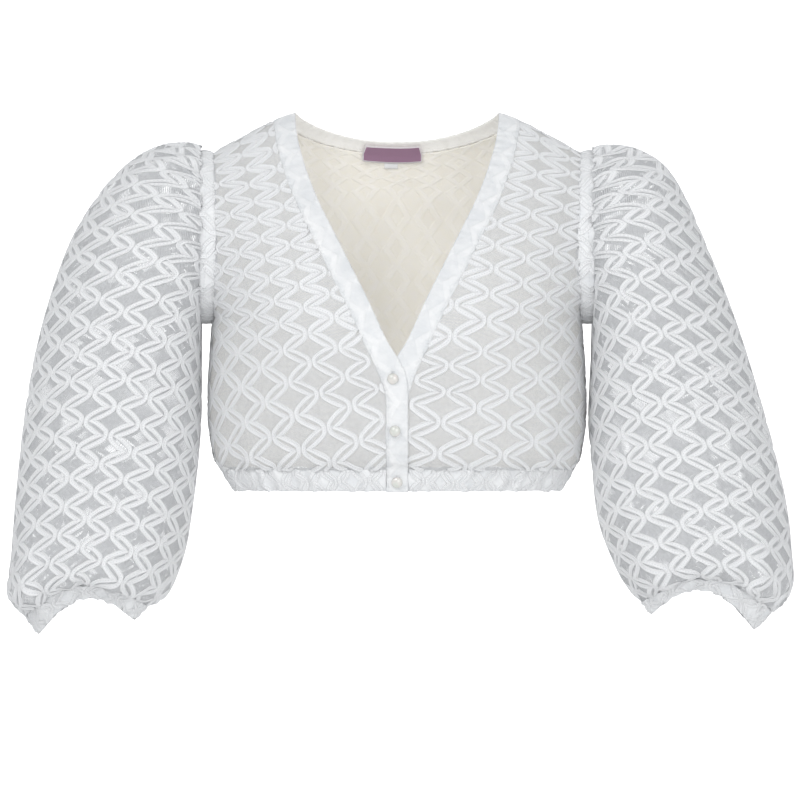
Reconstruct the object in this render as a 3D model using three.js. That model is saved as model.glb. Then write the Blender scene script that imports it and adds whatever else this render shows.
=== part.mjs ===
import * as THREE from 'three';

// A cropped lace dirndl blouse, worn and hollow, in millimetres.
// The front faces -Y, +Z is up and +X is the wearer's left.
// The origin lies midway between the two neck points of the shoulder seams.

// Cloth walls and the gap left at every seam
const NET_WALL = 1.2;
const BAND_WALL = 1.6;
const LINING_WALL = 1;
const BINDING_WALL = 1.4;
const CASING_WALL = 1;
const LABEL_WALL = 0.8;
const SEAM_GAP = 0.3;
const LINING_GAP = 0.6;

// Armhole seam: an oval that stands upright beside the body
const ARMHOLE_Y = 4;
const ARMHOLE_Z = -122;
const ARMHOLE_HALF_HEIGHT = 84;
const ARMHOLE_HALF_DEPTH = 60;
const ARMHOLE_X = 184;
const FRONT_CUT_IN = 4;
const BACK_CUT_IN = 2;
const BINDING_WIDTH = 12.5;
const BINDING_FLARE = 1.5;

// Columns of each wall and the gathers drawn in them
const FRONT_COLUMNS = 15;
const BACK_HALF_COLUMNS = 15;
const BACK_NECK_COLUMNS = 10;
const SLEEVE_COLUMNS = 48;
const FOLD_COLUMNS = 3;
const BINDING_COLUMNS = 36;
const HEM_GATHERS = 62;
const CUFF_GATHERS = 36;
const HEM_GATHER_HEIGHT = 1.9;
const CUFF_GATHER_HEIGHT = 1.9;

// Front closing: the right band lies on the left one
const PLACKET_HALF = 10.5;
const UNDERLAP_REACH = 6;
const PLACKET_LIFT = 2.2;
const PLACKET_STEP = 4;

// Pearl buttons
const BUTTON_RADIUS = 5;
const BUTTON_DOME = 4;
const BUTTON_RIM = 0.8;
const BUTTON_SEGMENTS = 14;

// Bare label and size tab inside the back neck
const LABEL_LEFT = -34;
const LABEL_RIGHT = 24;
const LABEL_ABOVE = 6;
const LABEL_BELOW = 8;
const LABEL_SINK = 3.4;
const TAB_LEFT = -13;
const TAB_RIGHT = 1;
const TAB_TOP = 8.6;
const TAB_BOTTOM = 14.5;

const WHITE_LACE = { color: 0xf4f2f2, roughness: 0.85, metalness: 0 };
const WHITE_BAND = { color: 0xf1eff0, roughness: 0.8, metalness: 0 };
const IVORY_LINING = { color: 0xf0ebe0, roughness: 0.75, metalness: 0 };
const PEARL = { color: 0xf3f0ee, roughness: 0.2, metalness: 0 };
const MAUVE_LABEL = { color: 0xb59db0, roughness: 0.6, metalness: 0 };
const WHITE_TAB = { color: 0xf6f6f6, roughness: 0.55, metalness: 0 };

function table(columns, rows) {
  return rows.map((row) => Object.fromEntries(columns.map((name, i) => [name, row[i]])));
}

// Half of the front from the hem to the shoulder seam, a row for each height. neck is the
// band's free edge, edge is where the band meets the lace, side is the side seam and phi the
// armhole angle (180 underarm, 0 shoulder). reach and lean bend the row at its inner end,
// back and turn at its outer end. fold is the height of the soft folds in the lace.
const FRONT_ROWS = table(
  ['neckX', 'neckY', 'neckZ', 'edgeX', 'edgeY', 'edgeZ', 'sideX', 'sideZ', 'phi',
    'reach', 'lean', 'back', 'turn', 'fold', 'lift'], [
    [-10.5, -99.5, -375, 10.8, -99.5, -375, 160, -375, 180, 84, 0, 56, 90, 0, 1],
    [-10.5, -107, -353, 10.8, -107, -353, 174, -353, 180, 90, 0, 60, 90, 0.6, 1],
    [-10.5, -119, -340, 10.8, -119, -340, 181.5, -340, 180, 95, 0, 66, 90, 2.2, 1],
    [-10.5, -129, -315, 10.8, -129, -315, 187.5, -313, 180, 98, 0, 70, 90, 2.8, 1],
    [-10.5, -133.5, -285, 10.8, -133.5, -285, 188.5, -282, 180, 99, 0, 72, 90, 1.8, 1],
    [-9, -134.5, -262, 14, -134.5, -271, 187.5, -256, 180, 97, 0, 72, 90, 1, 1],
    [0, -133.5, -243, 20.5, -134, -254, 186, -232, 180, 94, -0.02, 71, 90, 0.5, 1],
    [11, -130.5, -225, 30, -132, -234, 184, -206, 180, 86, -0.05, 68, 90, 0, 0.5],
    [28, -123, -188, 47, -127, -197, 0, 0, 142, 70, -0.08, 50, 66, 0, 0],
    [46, -112, -152, 65, -118, -161, 0, 0, 116, 52, -0.1, 44, 54, 0, 0],
    [62, -99, -120, 81, -105, -129, 0, 0, 95, 38, -0.02, 36, 44, 0, 0],
    [77, -83, -90, 96, -88, -98.5, 0, 0, 75, 30, 0.03, 30, 36, 0, 0],
    [89, -62, -60, 109, -66, -67, 0, 0, 56, 25, 0.08, 25, 24, 0, 0],
    [98, -37, -30, 118.5, -40, -35, 0, 0, 36, 22, 0.05, 22, 14, 0, 0],
    [101.5, -15, -8, 122.5, -16, -12, 0, 0, 17, 20, 0.02, 20, 4, 0, 0],
    [102, 4, 2, 123, 4, -6, 0, 0, 0, 22, 0, 22, 0, 0, 0],
  ]);

// Half of the back, from the hem up to the row that passes over the shoulder blades
const BACK_ROWS = table(
  ['edgeX', 'edgeY', 'edgeZ', 'sideX', 'sideZ', 'phi', 'reach', 'lean', 'back', 'turn', 'fold'], [
    [0, 92, -375, 160, -375, 180, 90, 0, 50, 90, 0],
    [0, 98, -353, 174, -353, 180, 96, 0, 54, 90, 0.6],
    [0, 108, -340, 181.5, -340, 180, 100, 0, 58, 90, 2.2],
    [0, 117, -315, 187.5, -313, 180, 103, 0, 62, 90, 2.8],
    [0, 121, -285, 188.5, -282, 180, 104, 0, 64, 90, 2],
    [0, 121.5, -250, 187, -250, 180, 103, 0, 64, 90, 1],
    [0, 119, -206, 184, -206, 180, 101, 0, 63, 90, 0.4],
    [0, 116, -172, 0, 0, 142, 85, 0, 52, 68, 0],
    [0, 111, -138, 0, 0, 116, 72, 0, 50, 50, 0],
    [0, 103, -106, 0, 0, 94, 65, 0, 50, 38, 0],
    [0, 92, -73, 0, 0, 74, 60, 0, 55, 30, 0],
  ]);

// Rows between the shoulder blades and the back neck, by armhole angle and share of the way
const BACK_YOKE = table(['phi', 'share'], [[56, 0.3], [37, 0.56], [18, 0.8]]);

// Back neck band: its free edge and the edge that meets the lace, from the centre outwards
const BACK_NECK = table(['neckX', 'neckY', 'neckZ', 'edgeX', 'edgeY', 'edgeZ'], [
  [0, 70, -25, 0, 78, -37],
  [38, 66, -22.5, 40, 74, -34],
  [72, 50, -14, 80, 57, -25],
  [94, 27, -4, 108, 31, -13],
  [102, 4, 2, 123, 4, -6],
]);

// Puff sleeves from the armhole to the cuff: the outer and inner points of each section in
// the front view, its half depth and middle, how far its front and back arch up, and the
// heights of the cap gathers and of the folds above the cuff
const SLEEVE_COLUMN_NAMES = [
  'outX', 'outZ', 'inX', 'inZ', 'deep', 'midY', 'arch', 'cap', 'cuff'];
const RIGHT_SLEEVE = table(SLEEVE_COLUMN_NAMES, [
  [197, -37, 197, -207, 62, 4, 0, 0, 0],
  [210, -33.5, 196.5, -217, 70, 4, 0, 2.4, 0],
  [232, -34, 196.5, -230, 78, 3, 0, 3.4, 0],
  [256, -42, 196.5, -246, 84, 2, 0, 3, 0],
  [280, -60, 196.5, -263, 88, 1, 0, 2.2, 0],
  [303, -88, 196.5, -284, 90, 0, 0, 1.3, 0],
  [325, -126, 197, -309, 91, -2, 0, 0.6, 0],
  [343, -174, 199, -337, 91, -3, 0, 0, 0],
  [358, -228, 202, -367, 91, -5, 0, 0, 0.4],
  [369, -287, 206, -397, 91, -6, 0, 0, 0.8],
  [376, -346, 210, -424, 90, -8, 0, 0, 1.6],
  [381, -400, 216, -447, 88, -9, 0, 0, 2.8],
  [384, -446, 225, -467, 83, -10, 4, 0, 4],
  [384, -478, 236, -481, 74, -10, 14, 0, 4.2],
  [369, -499, 251, -489, 58, -10, 26, 0, 1.5],
  [355.5, -517, 264.5, -503, 46, -10, 28, 0, 0],
]);
const LEFT_SLEEVE = table(SLEEVE_COLUMN_NAMES, [
  [197, -37, 197, -207, 62, 4, 0, 0, 0],
  [209, -34, 196, -217, 70, 4, 0, 2.4, 0],
  [229, -34, 195.5, -230, 78, 3, 0, 3.4, 0],
  [251, -40.5, 195, -246, 84, 2, 0, 3, 0],
  [271, -56, 194, -263, 88, 1, 0, 2.2, 0],
  [290, -88, 193, -284, 90, 0, 0, 1.3, 0],
  [308, -130, 192.5, -308, 91, -2, 0, 0.6, 0],
  [327, -177, 194.5, -335, 91, -3, 0, 0, 0],
  [345, -228, 197, -362, 91, -5, 0, 0, 0.4],
  [361, -281, 199.5, -389, 91, -6, 0, 0, 0.8],
  [376, -336, 204, -412, 90, -8, 0, 0, 1.6],
  [388, -390, 212, -434, 88, -9, 0, 0, 2.8],
  [393, -437, 222, -455, 83, -10, 4, 0, 4],
  [391, -470, 234, -471, 74, -10, 14, 0, 4.2],
  [374, -495, 246, -485, 58, -10, 28, 0, 1.5],
  [355, -513, 256, -497.5, 48, -10, 31.5, 0, 0],
]);

// Places of the buttons on the placket
const BUTTONS = table(['name', 'x', 'z'], [
  ['button_top', -4, -264],
  ['button_middle', -2, -315],
  ['button_bottom', 0, -365],
]);

const blouse = new THREE.Group();

function vector(x, y, z) {
  return new THREE.Vector3(x, y, z);
}

function mirrored(point) {
  return vector(-point.x, point.y, point.z);
}

function smooth(share) {
  const t = Math.min(1, Math.max(0, share));
  return t * t * (3 - 2 * t);
}

function grid(rowCount, columnCount, pointAt) {
  return Array.from({ length: rowCount }, (_, i) =>
    Array.from({ length: columnCount }, (_, j) => pointAt(i, j)));
}

// Unit normals of a grid of points, facing away from the given axis point of each row
function gridNormals(points, axisPoint, closed = false) {
  const rows = points.length;
  const columns = points[0].length;
  const at = (i, j) => {
    const row = points[Math.min(rows - 1, Math.max(0, i))];
    const column = closed ? (j + columns) % columns : Math.min(columns - 1, Math.max(0, j));
    return row[column];
  };
  const normals = grid(rows, columns, (i, j) => {
    const along = at(i + 1, j).clone().sub(at(i - 1, j));
    const across = at(i, j + 1).clone().sub(at(i, j - 1));
    return along.cross(across).normalize();
  });
  let facing = 0;
  points.forEach((row, i) => row.forEach((point, j) => {
    facing += point.clone().sub(axisPoint(i)).dot(normals[i][j]);
  }));
  const sign = Math.sign(facing);
  return normals.map((row) => row.map((normal) => normal.multiplyScalar(sign)));
}

// Draws the named borders of an open grid back along the cloth, so that seams keep a gap
function trimmed(points, trims) {
  const result = points.map((row) => row.map((point) => point.clone()));
  const rows = points.length;
  const columns = points[0].length;
  const pull = (i, j, fromI, fromJ, gap) => {
    const step = points[fromI][fromJ].clone().sub(points[i][j]).normalize();
    result[i][j].addScaledVector(step, gap);
  };
  for (let j = 0; j < columns; j++) {
    if (trims.first) pull(0, j, 1, j, trims.first);
    if (trims.last) pull(rows - 1, j, rows - 2, j, trims.last);
  }
  for (let i = 0; i < rows; i++) {
    if (trims.left) pull(i, 0, i, 1, trims.left);
    if (trims.right) pull(i, columns - 1, i, columns - 2, trims.right);
  }
  return result;
}

// A closed wall over a grid: the outer face is raised and the inner face is sunk from it
function wall(points, normals, raise, sink, closed = false) {
  const rows = points.length;
  const columns = points[0].length;
  const count = rows * columns;
  const positions = [];
  const place = (distance) => points.forEach((row, i) => row.forEach((point, j) => {
    const moved = point.clone().addScaledVector(normals[i][j], distance(i, j));
    positions.push(moved.x, moved.y, moved.z);
  }));
  place(raise);
  place((i, j) => -sink(i, j));
  const outer = (i, j) => i * columns + (j % columns);
  const inner = (i, j) => count + outer(i, j);
  const triangles = [];
  const quad = (a, b, c, d) => triangles.push(a, b, c, a, c, d);
  const spans = closed ? columns : columns - 1;
  for (let i = 0; i < rows - 1; i++) {
    for (let j = 0; j < spans; j++) {
      quad(outer(i, j), outer(i, j + 1), outer(i + 1, j + 1), outer(i + 1, j));
      quad(inner(i, j), inner(i + 1, j), inner(i + 1, j + 1), inner(i, j + 1));
    }
  }
  for (let j = 0; j < spans; j++) {
    quad(outer(0, j), inner(0, j), inner(0, j + 1), outer(0, j + 1));
    quad(outer(rows - 1, j), outer(rows - 1, j + 1), inner(rows - 1, j + 1), inner(rows - 1, j));
  }
  if (!closed) {
    for (let i = 0; i < rows - 1; i++) {
      quad(outer(i, 0), outer(i + 1, 0), inner(i + 1, 0), inner(i, 0));
      const k = columns - 1;
      quad(outer(i, k), inner(i, k), inner(i + 1, k), outer(i + 1, k));
    }
  }
  const along = points[1][0].clone().sub(points[0][0]);
  const across = points[0][1].clone().sub(points[0][0]);
  if (across.cross(along).dot(normals[0][0]) < 0) triangles.reverse();
  const geometry = new THREE.BufferGeometry();
  geometry.setAttribute('position', new THREE.Float32BufferAttribute(positions, 3));
  geometry.setIndex(triangles);
  return geometry;
}

function addPiece(name, geometry, look) {
  const mesh = new THREE.Mesh(geometry, new THREE.MeshStandardMaterial(look));
  mesh.name = name;
  blouse.add(mesh);
  return mesh;
}

// A point of the body's armhole edge; toward is -1 on the front and 1 on the back
function armholePoint(phi, toward, outwards = 0, flare = 0) {
  const angle = THREE.MathUtils.degToRad(phi);
  const cutIn = toward < 0 ? FRONT_CUT_IN : BACK_CUT_IN;
  const hollow = outwards > 0 ? 0 : cutIn * Math.sin(angle) ** 2;
  return vector(
    ARMHOLE_X - hollow + outwards,
    ARMHOLE_Y + toward * (ARMHOLE_HALF_DEPTH + flare) * Math.sin(angle),
    ARMHOLE_Z + (ARMHOLE_HALF_HEIGHT + flare) * Math.cos(angle));
}

// The curve of one row of a half panel, from its inner edge round to the side or armhole
function panelRow(row, toward) {
  const start = vector(row.edgeX, row.edgeY, row.edgeZ);
  const end = row.phi < 180
    ? armholePoint(row.phi, toward)
    : vector(row.sideX, ARMHOLE_Y, row.sideZ);
  const turn = THREE.MathUtils.degToRad(row.turn);
  const climb = end.z - start.z;
  const first = start.clone().add(vector(row.reach, row.lean * row.reach, climb / 3));
  const second = end.clone().add(
    vector(-row.back * Math.cos(turn), toward * row.back * Math.sin(turn), -climb / 3));
  return new THREE.CubicBezierCurve3(start, first, second, end);
}

// Height of a soft fold at a column, strongest between the centre and the side
function foldHeight(row, column, share) {
  return row.fold * (0.4 + 0.6 * Math.sin(Math.PI * share))
    * Math.cos((2 * Math.PI * column) / FOLD_COLUMNS);
}

function bodyAxis(points) {
  return (i) => vector(0, 0, points[i][0].z);
}

// At the shoulder seam front and back share an upright wall, so their inner faces stay apart
function levelLastRow(normals) {
  normals[normals.length - 1].forEach((normal) => normal.setY(0).normalize());
  return normals;
}

function addFront(name, side) {
  const rows = FRONT_ROWS.slice(1);
  const curves = rows.map((row) => panelRow(row, -1));
  const base = grid(rows.length, FRONT_COLUMNS + 1, (i, j) => {
    const point = curves[i].getPoint(j / FRONT_COLUMNS);
    return side < 0 ? mirrored(point) : point;
  });
  const normals = levelLastRow(gridNormals(base, bodyAxis(base)));
  const height = (i, j) => foldHeight(rows[i], j, j / FRONT_COLUMNS);
  const trims = {
    first: SEAM_GAP / 2, last: SEAM_GAP / 2, left: SEAM_GAP / 2, right: SEAM_GAP / 2 };
  const geometry = wall(trimmed(base, trims), normals, height,
    (i, j) => NET_WALL - height(i, j));
  addPiece(name, geometry, WHITE_LACE);
}

const backNeckEdge = mirroredCurve(BACK_NECK.map((row) => vector(row.edgeX, row.edgeY, row.edgeZ)));
const backNeckFree = mirroredCurve(BACK_NECK.map((row) => vector(row.neckX, row.neckY, row.neckZ)));

// A smooth curve from the right shoulder across the centre back to the left shoulder
function mirroredCurve(half) {
  const right = half.slice(1).reverse().map(mirrored);
  return new THREE.CatmullRomCurve3([...right, ...half], false, 'centripetal');
}

// Half a row of the back, as points from the centre to the side, armhole or shoulder tip
function backHalfRows() {
  const curves = BACK_ROWS.slice(1).map((row) => panelRow(row, 1));
  const lower = curves.map((curve) => curve.getPoints(BACK_HALF_COLUMNS));
  const tip = armholePoint(0, 1);
  const neckEnd = backNeckEdge.getPoint(1);
  const top = Array.from({ length: BACK_HALF_COLUMNS + 1 }, (_, j) => {
    if (j <= BACK_NECK_COLUMNS) return backNeckEdge.getPointAt(0.5 + j / (2 * BACK_NECK_COLUMNS));
    const share = (j - BACK_NECK_COLUMNS) / (BACK_HALF_COLUMNS - BACK_NECK_COLUMNS);
    return neckEnd.clone().lerp(tip, share);
  });
  const blades = lower[lower.length - 1];
  const yoke = BACK_YOKE.map(({ phi, share }) => {
    const bulge = armholePoint(phi, 1).sub(blades[BACK_HALF_COLUMNS].clone().lerp(tip, share));
    return top.map((point, j) =>
      blades[j].clone().lerp(point, share).addScaledVector(bulge, j / BACK_HALF_COLUMNS));
  });
  return [...lower, ...yoke, top];
}

function backGrid() {
  return backHalfRows().map((half) => [...half.slice(1).reverse().map(mirrored), ...half]);
}

function addBack() {
  const base = backGrid();
  const normals = gridNormals(base, bodyAxis(base));
  const neckStart = BACK_HALF_COLUMNS - BACK_NECK_COLUMNS;
  normals[base.length - 1].forEach((normal, j) => {
    if (Math.abs(j - BACK_HALF_COLUMNS) >= BACK_HALF_COLUMNS - neckStart) normal.setY(0).normalize();
  });
  const height = (i, j) => {
    const column = Math.abs(j - BACK_HALF_COLUMNS);
    const row = BACK_ROWS[i + 1];
    return row ? foldHeight(row, column, column / BACK_HALF_COLUMNS) : 0;
  };
  const half = SEAM_GAP / 2;
  const trims = { first: half, last: half, left: half, right: half };
  const points = trimmed(base, trims);
  addPiece('back', wall(points, normals, height, (i, j) => NET_WALL - height(i, j)), WHITE_LACE);
  const depth = NET_WALL + LINING_GAP;
  const lined = trimmed(base, { first: SEAM_GAP, last: SEAM_GAP * 2, left: 1, right: 1 });
  addPiece('back_lining', wall(lined, normals, (i, j) => height(i, j) - depth,
    (i, j) => depth + LINING_WALL - height(i, j)), IVORY_LINING);
}

// The strip between the free neck edge and the lace. On the right it becomes the placket,
// which rises over the underlap of the left one.
function bandPoint(row, share, side) {
  const reach = side < 0 ? -PLACKET_HALF : -UNDERLAP_REACH;
  const neck = vector(Math.max(row.neckX, reach), row.neckY, row.neckZ);
  const edge = vector(row.edgeX, row.edgeY, row.edgeZ);
  const point = edge.lerp(neck, share);
  return side < 0 ? mirrored(point) : point;
}

function placketShares() {
  const width = 2 * PLACKET_HALF;
  return [0, PLACKET_STEP / width, 0.6, 1];
}

function addNeckBand(name, side) {
  const shares = placketShares();
  const base = grid(FRONT_ROWS.length, shares.length,
    (i, j) => bandPoint(FRONT_ROWS[i], shares[j], side));
  const normals = levelLastRow(gridNormals(base, bodyAxis(base)));
  const lift = (i, j) => (side < 0 && j > 0 ? PLACKET_LIFT * FRONT_ROWS[i].lift : 0);
  const points = trimmed(base, { left: SEAM_GAP, last: SEAM_GAP / 2 });
  addPiece(name, wall(points, normals, lift, (i, j) => BAND_WALL - lift(i, j)), WHITE_BAND);
}

function addBackNeckBand() {
  const columns = 2 * BACK_NECK_COLUMNS;
  const base = grid(2, columns + 1, (i, j) =>
    (i === 0 ? backNeckEdge : backNeckFree).getPointAt(j / columns));
  const normals = gridNormals(base, () => vector(0, 0, -60));
  [0, columns].forEach((j) => normals.forEach((row) => row[j].setY(0).normalize()));
  const half = SEAM_GAP / 2;
  const points = trimmed(base, { first: SEAM_GAP, left: half, right: half });
  addPiece('neck_band_back', wall(points, normals, () => 0, () => BAND_WALL), WHITE_BAND);
}

// The elastic hem casing runs from placket to placket round the back
function hemCurve(frontRow, backRow) {
  const front = panelRow(frontRow, -1);
  const back = panelRow(backRow, 1);
  const controls = (curve) => [curve.v0, curve.v1, curve.v2, curve.v3];
  const mirrorAll = (list) => list.map(mirrored);
  const path = new THREE.CurvePath();
  [
    controls(front), controls(back).reverse(),
    mirrorAll(controls(back)), mirrorAll(controls(front)).reverse(),
  ].forEach((list) => path.add(new THREE.CubicBezierCurve3(...list)));
  return path;
}

function addHemCasing() {
  const columns = 2 * HEM_GATHERS;
  const rings = [0, 1].map((i) =>
    hemCurve(FRONT_ROWS[i], BACK_ROWS[i]).getSpacedPoints(columns));
  const base = grid(2, columns + 1, (i, j) => rings[i][j]);
  const normals = gridNormals(base, bodyAxis(base));
  const points = trimmed(base, { last: SEAM_GAP, left: SEAM_GAP, right: SEAM_GAP });
  const gather = (i, j) => (j % 2 ? HEM_GATHER_HEIGHT : 0);
  addPiece('hem_casing', wall(points, normals, gather, () => CASING_WALL), WHITE_LACE);
}

function sleevePoint(section, angle, side) {
  const outward = Math.cos(angle);
  const forward = Math.sin(angle);
  const middleX = (section.outX + section.inX) / 2;
  const middleZ = (section.outZ + section.inZ) / 2;
  return vector(
    side * (middleX + (outward * (section.outX - section.inX)) / 2),
    section.midY - forward * section.deep,
    middleZ + (outward * (section.outZ - section.inZ)) / 2 + section.arch * forward ** 2);
}

function sleeveAxis(sections, side) {
  return (i) => vector(side * (sections[i].outX + sections[i].inX) / 2, sections[i].midY,
    (sections[i].outZ + sections[i].inZ) / 2);
}

function tubeGrid(sections, columns, side) {
  return grid(sections.length, columns,
    (i, j) => sleevePoint(sections[i], (2 * Math.PI * j) / columns, side));
}

function addSleeve(name, sections, side) {
  const base = tubeGrid(sections, SLEEVE_COLUMNS, side);
  const normals = gridNormals(base, sleeveAxis(sections, side), true);
  const height = (i, j) => {
    const angle = (2 * Math.PI * j) / SLEEVE_COLUMNS;
    const gather = Math.cos((2 * Math.PI * j) / FOLD_COLUMNS);
    const crown = Math.sqrt(Math.max(0, Math.cos(angle)));
    const underarm = 1 - 0.6 * smooth((-Math.cos(angle) - 0.3) / 0.7);
    return gather * (sections[i].cap * crown + sections[i].cuff * underarm);
  };
  const lace = sections.length - 1;
  const points = trimmed(base.slice(0, lace), { first: SEAM_GAP / 2, last: SEAM_GAP });
  addPiece(`sleeve_${name}`, wall(points, normals.slice(0, lace), height,
    (i, j) => NET_WALL - height(i, j), true), WHITE_LACE);
  addCuff(name, sections.slice(lace - 1), side);
}

function addCuff(name, sections, side) {
  const columns = 2 * CUFF_GATHERS;
  const base = tubeGrid(sections, columns, side);
  const normals = gridNormals(base, sleeveAxis(sections, side), true);
  const points = trimmed(base, { first: SEAM_GAP });
  const gather = (i, j) => (j % 2 ? CUFF_GATHER_HEIGHT : 0);
  addPiece(`cuff_${name}`, wall(points, normals, gather, () => CASING_WALL, true), WHITE_LACE);
}

function addArmholeBinding(name, side) {
  const base = grid(2, BINDING_COLUMNS, (i, j) => {
    const phi = (360 * j) / BINDING_COLUMNS;
    const toward = phi < 180 ? -1 : 1;
    const turn = phi < 180 ? phi : 360 - phi;
    const point = i === 0
      ? armholePoint(turn, toward)
      : armholePoint(turn, toward, BINDING_WIDTH, BINDING_FLARE);
    return side < 0 ? mirrored(point) : point;
  });
  const normals = gridNormals(base, () => vector(side * ARMHOLE_X, ARMHOLE_Y, ARMHOLE_Z), true);
  const points = trimmed(base, { first: SEAM_GAP, last: SEAM_GAP });
  addPiece(`armhole_binding_${name}`, wall(points, normals, () => 0, () => BINDING_WALL, true),
    WHITE_BAND);
}

// The middle of the placket at a height, and the way that its face looks
function placketAt(z) {
  const k = FRONT_ROWS.findIndex((row) => row.neckZ > z);
  const low = FRONT_ROWS[k - 1];
  const high = FRONT_ROWS[k];
  const share = (z - low.neckZ) / (high.neckZ - low.neckZ);
  const y = THREE.MathUtils.lerp(low.neckY, high.neckY, share);
  const rise = vector(0, high.neckY - low.neckY, high.neckZ - low.neckZ).normalize();
  return { y, facing: vector(0, -rise.z, rise.y) };
}

function addButton({ name, x, z }) {
  const dome = new THREE.EllipseCurve(0, BUTTON_RIM, BUTTON_RADIUS, BUTTON_DOME, 0, Math.PI / 2);
  const profile = [new THREE.Vector2(0, 0), new THREE.Vector2(BUTTON_RADIUS - 1, 0),
    ...dome.getPoints(4)];
  profile[profile.length - 1].x = 0;
  const pearl = addPiece(name, new THREE.LatheGeometry(profile, BUTTON_SEGMENTS), PEARL);
  const { y, facing } = placketAt(z);
  pearl.position.set(x, y, z).addScaledVector(facing, PLACKET_LIFT + SEAM_GAP);
  pearl.quaternion.setFromUnitVectors(vector(0, 1, 0), facing);
}

// Points of the inside back neck, so many millimetres along and below the band's lower edge
function backNeckPoint(along, below) {
  const length = backNeckEdge.getLength();
  const share = 0.5 + along / length;
  const edge = backNeckEdge.getPointAt(share);
  const lower = vector(0, BACK_ROWS[10].edgeY - BACK_NECK[0].edgeY,
    BACK_ROWS[10].edgeZ - BACK_NECK[0].edgeZ).normalize();
  const upper = backNeckFree.getPointAt(share).sub(edge).normalize();
  return below < 0 ? edge.addScaledVector(upper, -below) : edge.addScaledVector(lower, below);
}

function addLabel(name, left, right, drops, columns, look) {
  const base = grid(drops.length, columns + 1, (i, j) =>
    backNeckPoint(THREE.MathUtils.lerp(left, right, j / columns), drops[i]));
  const normals = gridNormals(base, bodyAxis(base));
  addPiece(name, wall(base, normals, () => -LABEL_SINK, () => LABEL_SINK + LABEL_WALL), look);
}

addFront('front_right', -1);
addFront('front_left', 1);
addBack();
addNeckBand('neck_band_right', -1);
addNeckBand('neck_band_left', 1);
addBackNeckBand();
addHemCasing();
addSleeve('right', RIGHT_SLEEVE, -1);
addSleeve('left', LEFT_SLEEVE, 1);
addArmholeBinding('right', -1);
addArmholeBinding('left', 1);
BUTTONS.forEach(addButton);
addLabel('label', LABEL_LEFT, LABEL_RIGHT, [-LABEL_ABOVE, 0, LABEL_BELOW], 6, MAUVE_LABEL);
addLabel('size_tab', TAB_LEFT, TAB_RIGHT, [TAB_TOP, TAB_BOTTOM], 2, WHITE_TAB);

export default blouse;
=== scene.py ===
"""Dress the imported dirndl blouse: tape lace on tulle, bands, casings, pearls and a plain studio."""
import logging
import math
from dataclasses import dataclass, field
from enum import Enum
from typing import Any, Callable, Iterable, Sequence

import bmesh
import bpy
import numpy as np
from mathutils import Matrix, Vector


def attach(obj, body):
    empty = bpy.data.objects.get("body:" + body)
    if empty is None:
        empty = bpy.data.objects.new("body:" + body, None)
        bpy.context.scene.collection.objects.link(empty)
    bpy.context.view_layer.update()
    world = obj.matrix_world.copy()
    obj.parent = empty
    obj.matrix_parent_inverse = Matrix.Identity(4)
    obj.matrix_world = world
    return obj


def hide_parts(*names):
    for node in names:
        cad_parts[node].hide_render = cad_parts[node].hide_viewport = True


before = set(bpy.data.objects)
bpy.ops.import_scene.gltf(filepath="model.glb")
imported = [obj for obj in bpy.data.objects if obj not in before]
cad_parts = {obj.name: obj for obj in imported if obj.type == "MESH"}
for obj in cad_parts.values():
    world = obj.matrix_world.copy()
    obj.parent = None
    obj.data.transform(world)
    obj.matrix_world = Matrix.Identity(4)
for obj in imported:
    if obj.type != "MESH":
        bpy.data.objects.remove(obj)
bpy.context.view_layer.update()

log = logging.getLogger("blouse")

# Tables are in millimetres, the scene is in metres
MM = 0.001
BODY = "root"
TAU = 2 * math.pi
MERGE_DISTANCE = 1e-6
EDGE_GAP = 1e-6
TINY = 1e-9

# Armhole seam and its binding; angles run from the shoulder point, 0, to the lowest one
UNDER_ARM = 180.0
ARMHOLE_X, ARMHOLE_Y, ARMHOLE_Z = 184.0, 4.0, -122.0
ARMHOLE_HALF_HEIGHT, ARMHOLE_HALF_DEPTH = 84.0, 60.0
FRONT_CUT_IN, BACK_CUT_IN = 4.0, 2.0
BINDING_WIDTH, BINDING_FLARE = 12.5, 1.5

# Front closing
PLACKET_HALF = 10.5
UNDERLAP_REACH = 6.0
PLACKET_LIFT = 2.2
PLACKET_SLOPE = 4.5
BUTTON_RADIUS = 5.6
THREAD_HEIGHT, THREAD_ROUND = 0.5, 0.16

# Spans of the panels' own tables
FRONT_COLUMNS = 15
BACK_HALF_COLUMNS = 15
BACK_NECK_COLUMNS = 10
NECK_STEPS = 12

# Flat width of a sleeve's lace
SLEEVE_WIDTH = 560.0


class Side(Enum):
    """The side that a paired piece is on, as the blouse is worn."""

    RIGHT = -1
    LEFT = 1

    @property
    def word(self) -> str:
        """The side's name as the frame's nodes have it."""
        return self.name.lower()


@dataclass(frozen=True)
class FrontRow:
    """A row of half a front: the band's neck edge, the lace's edge and the way to the side.

    The lace leaves its edge for a distance (reach) and leans on the way, and it comes in to its end
    from a distance (back) at an angle in degrees (turn). It ends on the armhole at an angle (phi), or
    at the side where phi is 180. The placket's own lift is a share.
    """

    neck_x: float
    neck_y: float
    neck_z: float
    edge_x: float
    edge_y: float
    edge_z: float
    side_x: float
    side_z: float
    phi: float
    reach: float
    lean: float
    back: float
    turn: float
    lift: float


@dataclass(frozen=True)
class BackRow:
    """A row of half the back, from its middle to the side or armhole, bent as a front row is."""

    edge_y: float
    edge_z: float
    side_x: float
    side_z: float
    phi: float
    reach: float
    back: float
    turn: float
    edge_x: float = 0.0
    lean: float = 0.0


@dataclass(frozen=True)
class NeckPoint:
    """A point of the back neck band: its free edge and the edge that meets the lace."""

    neck: tuple[float, float, float]
    edge: tuple[float, float, float]


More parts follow.
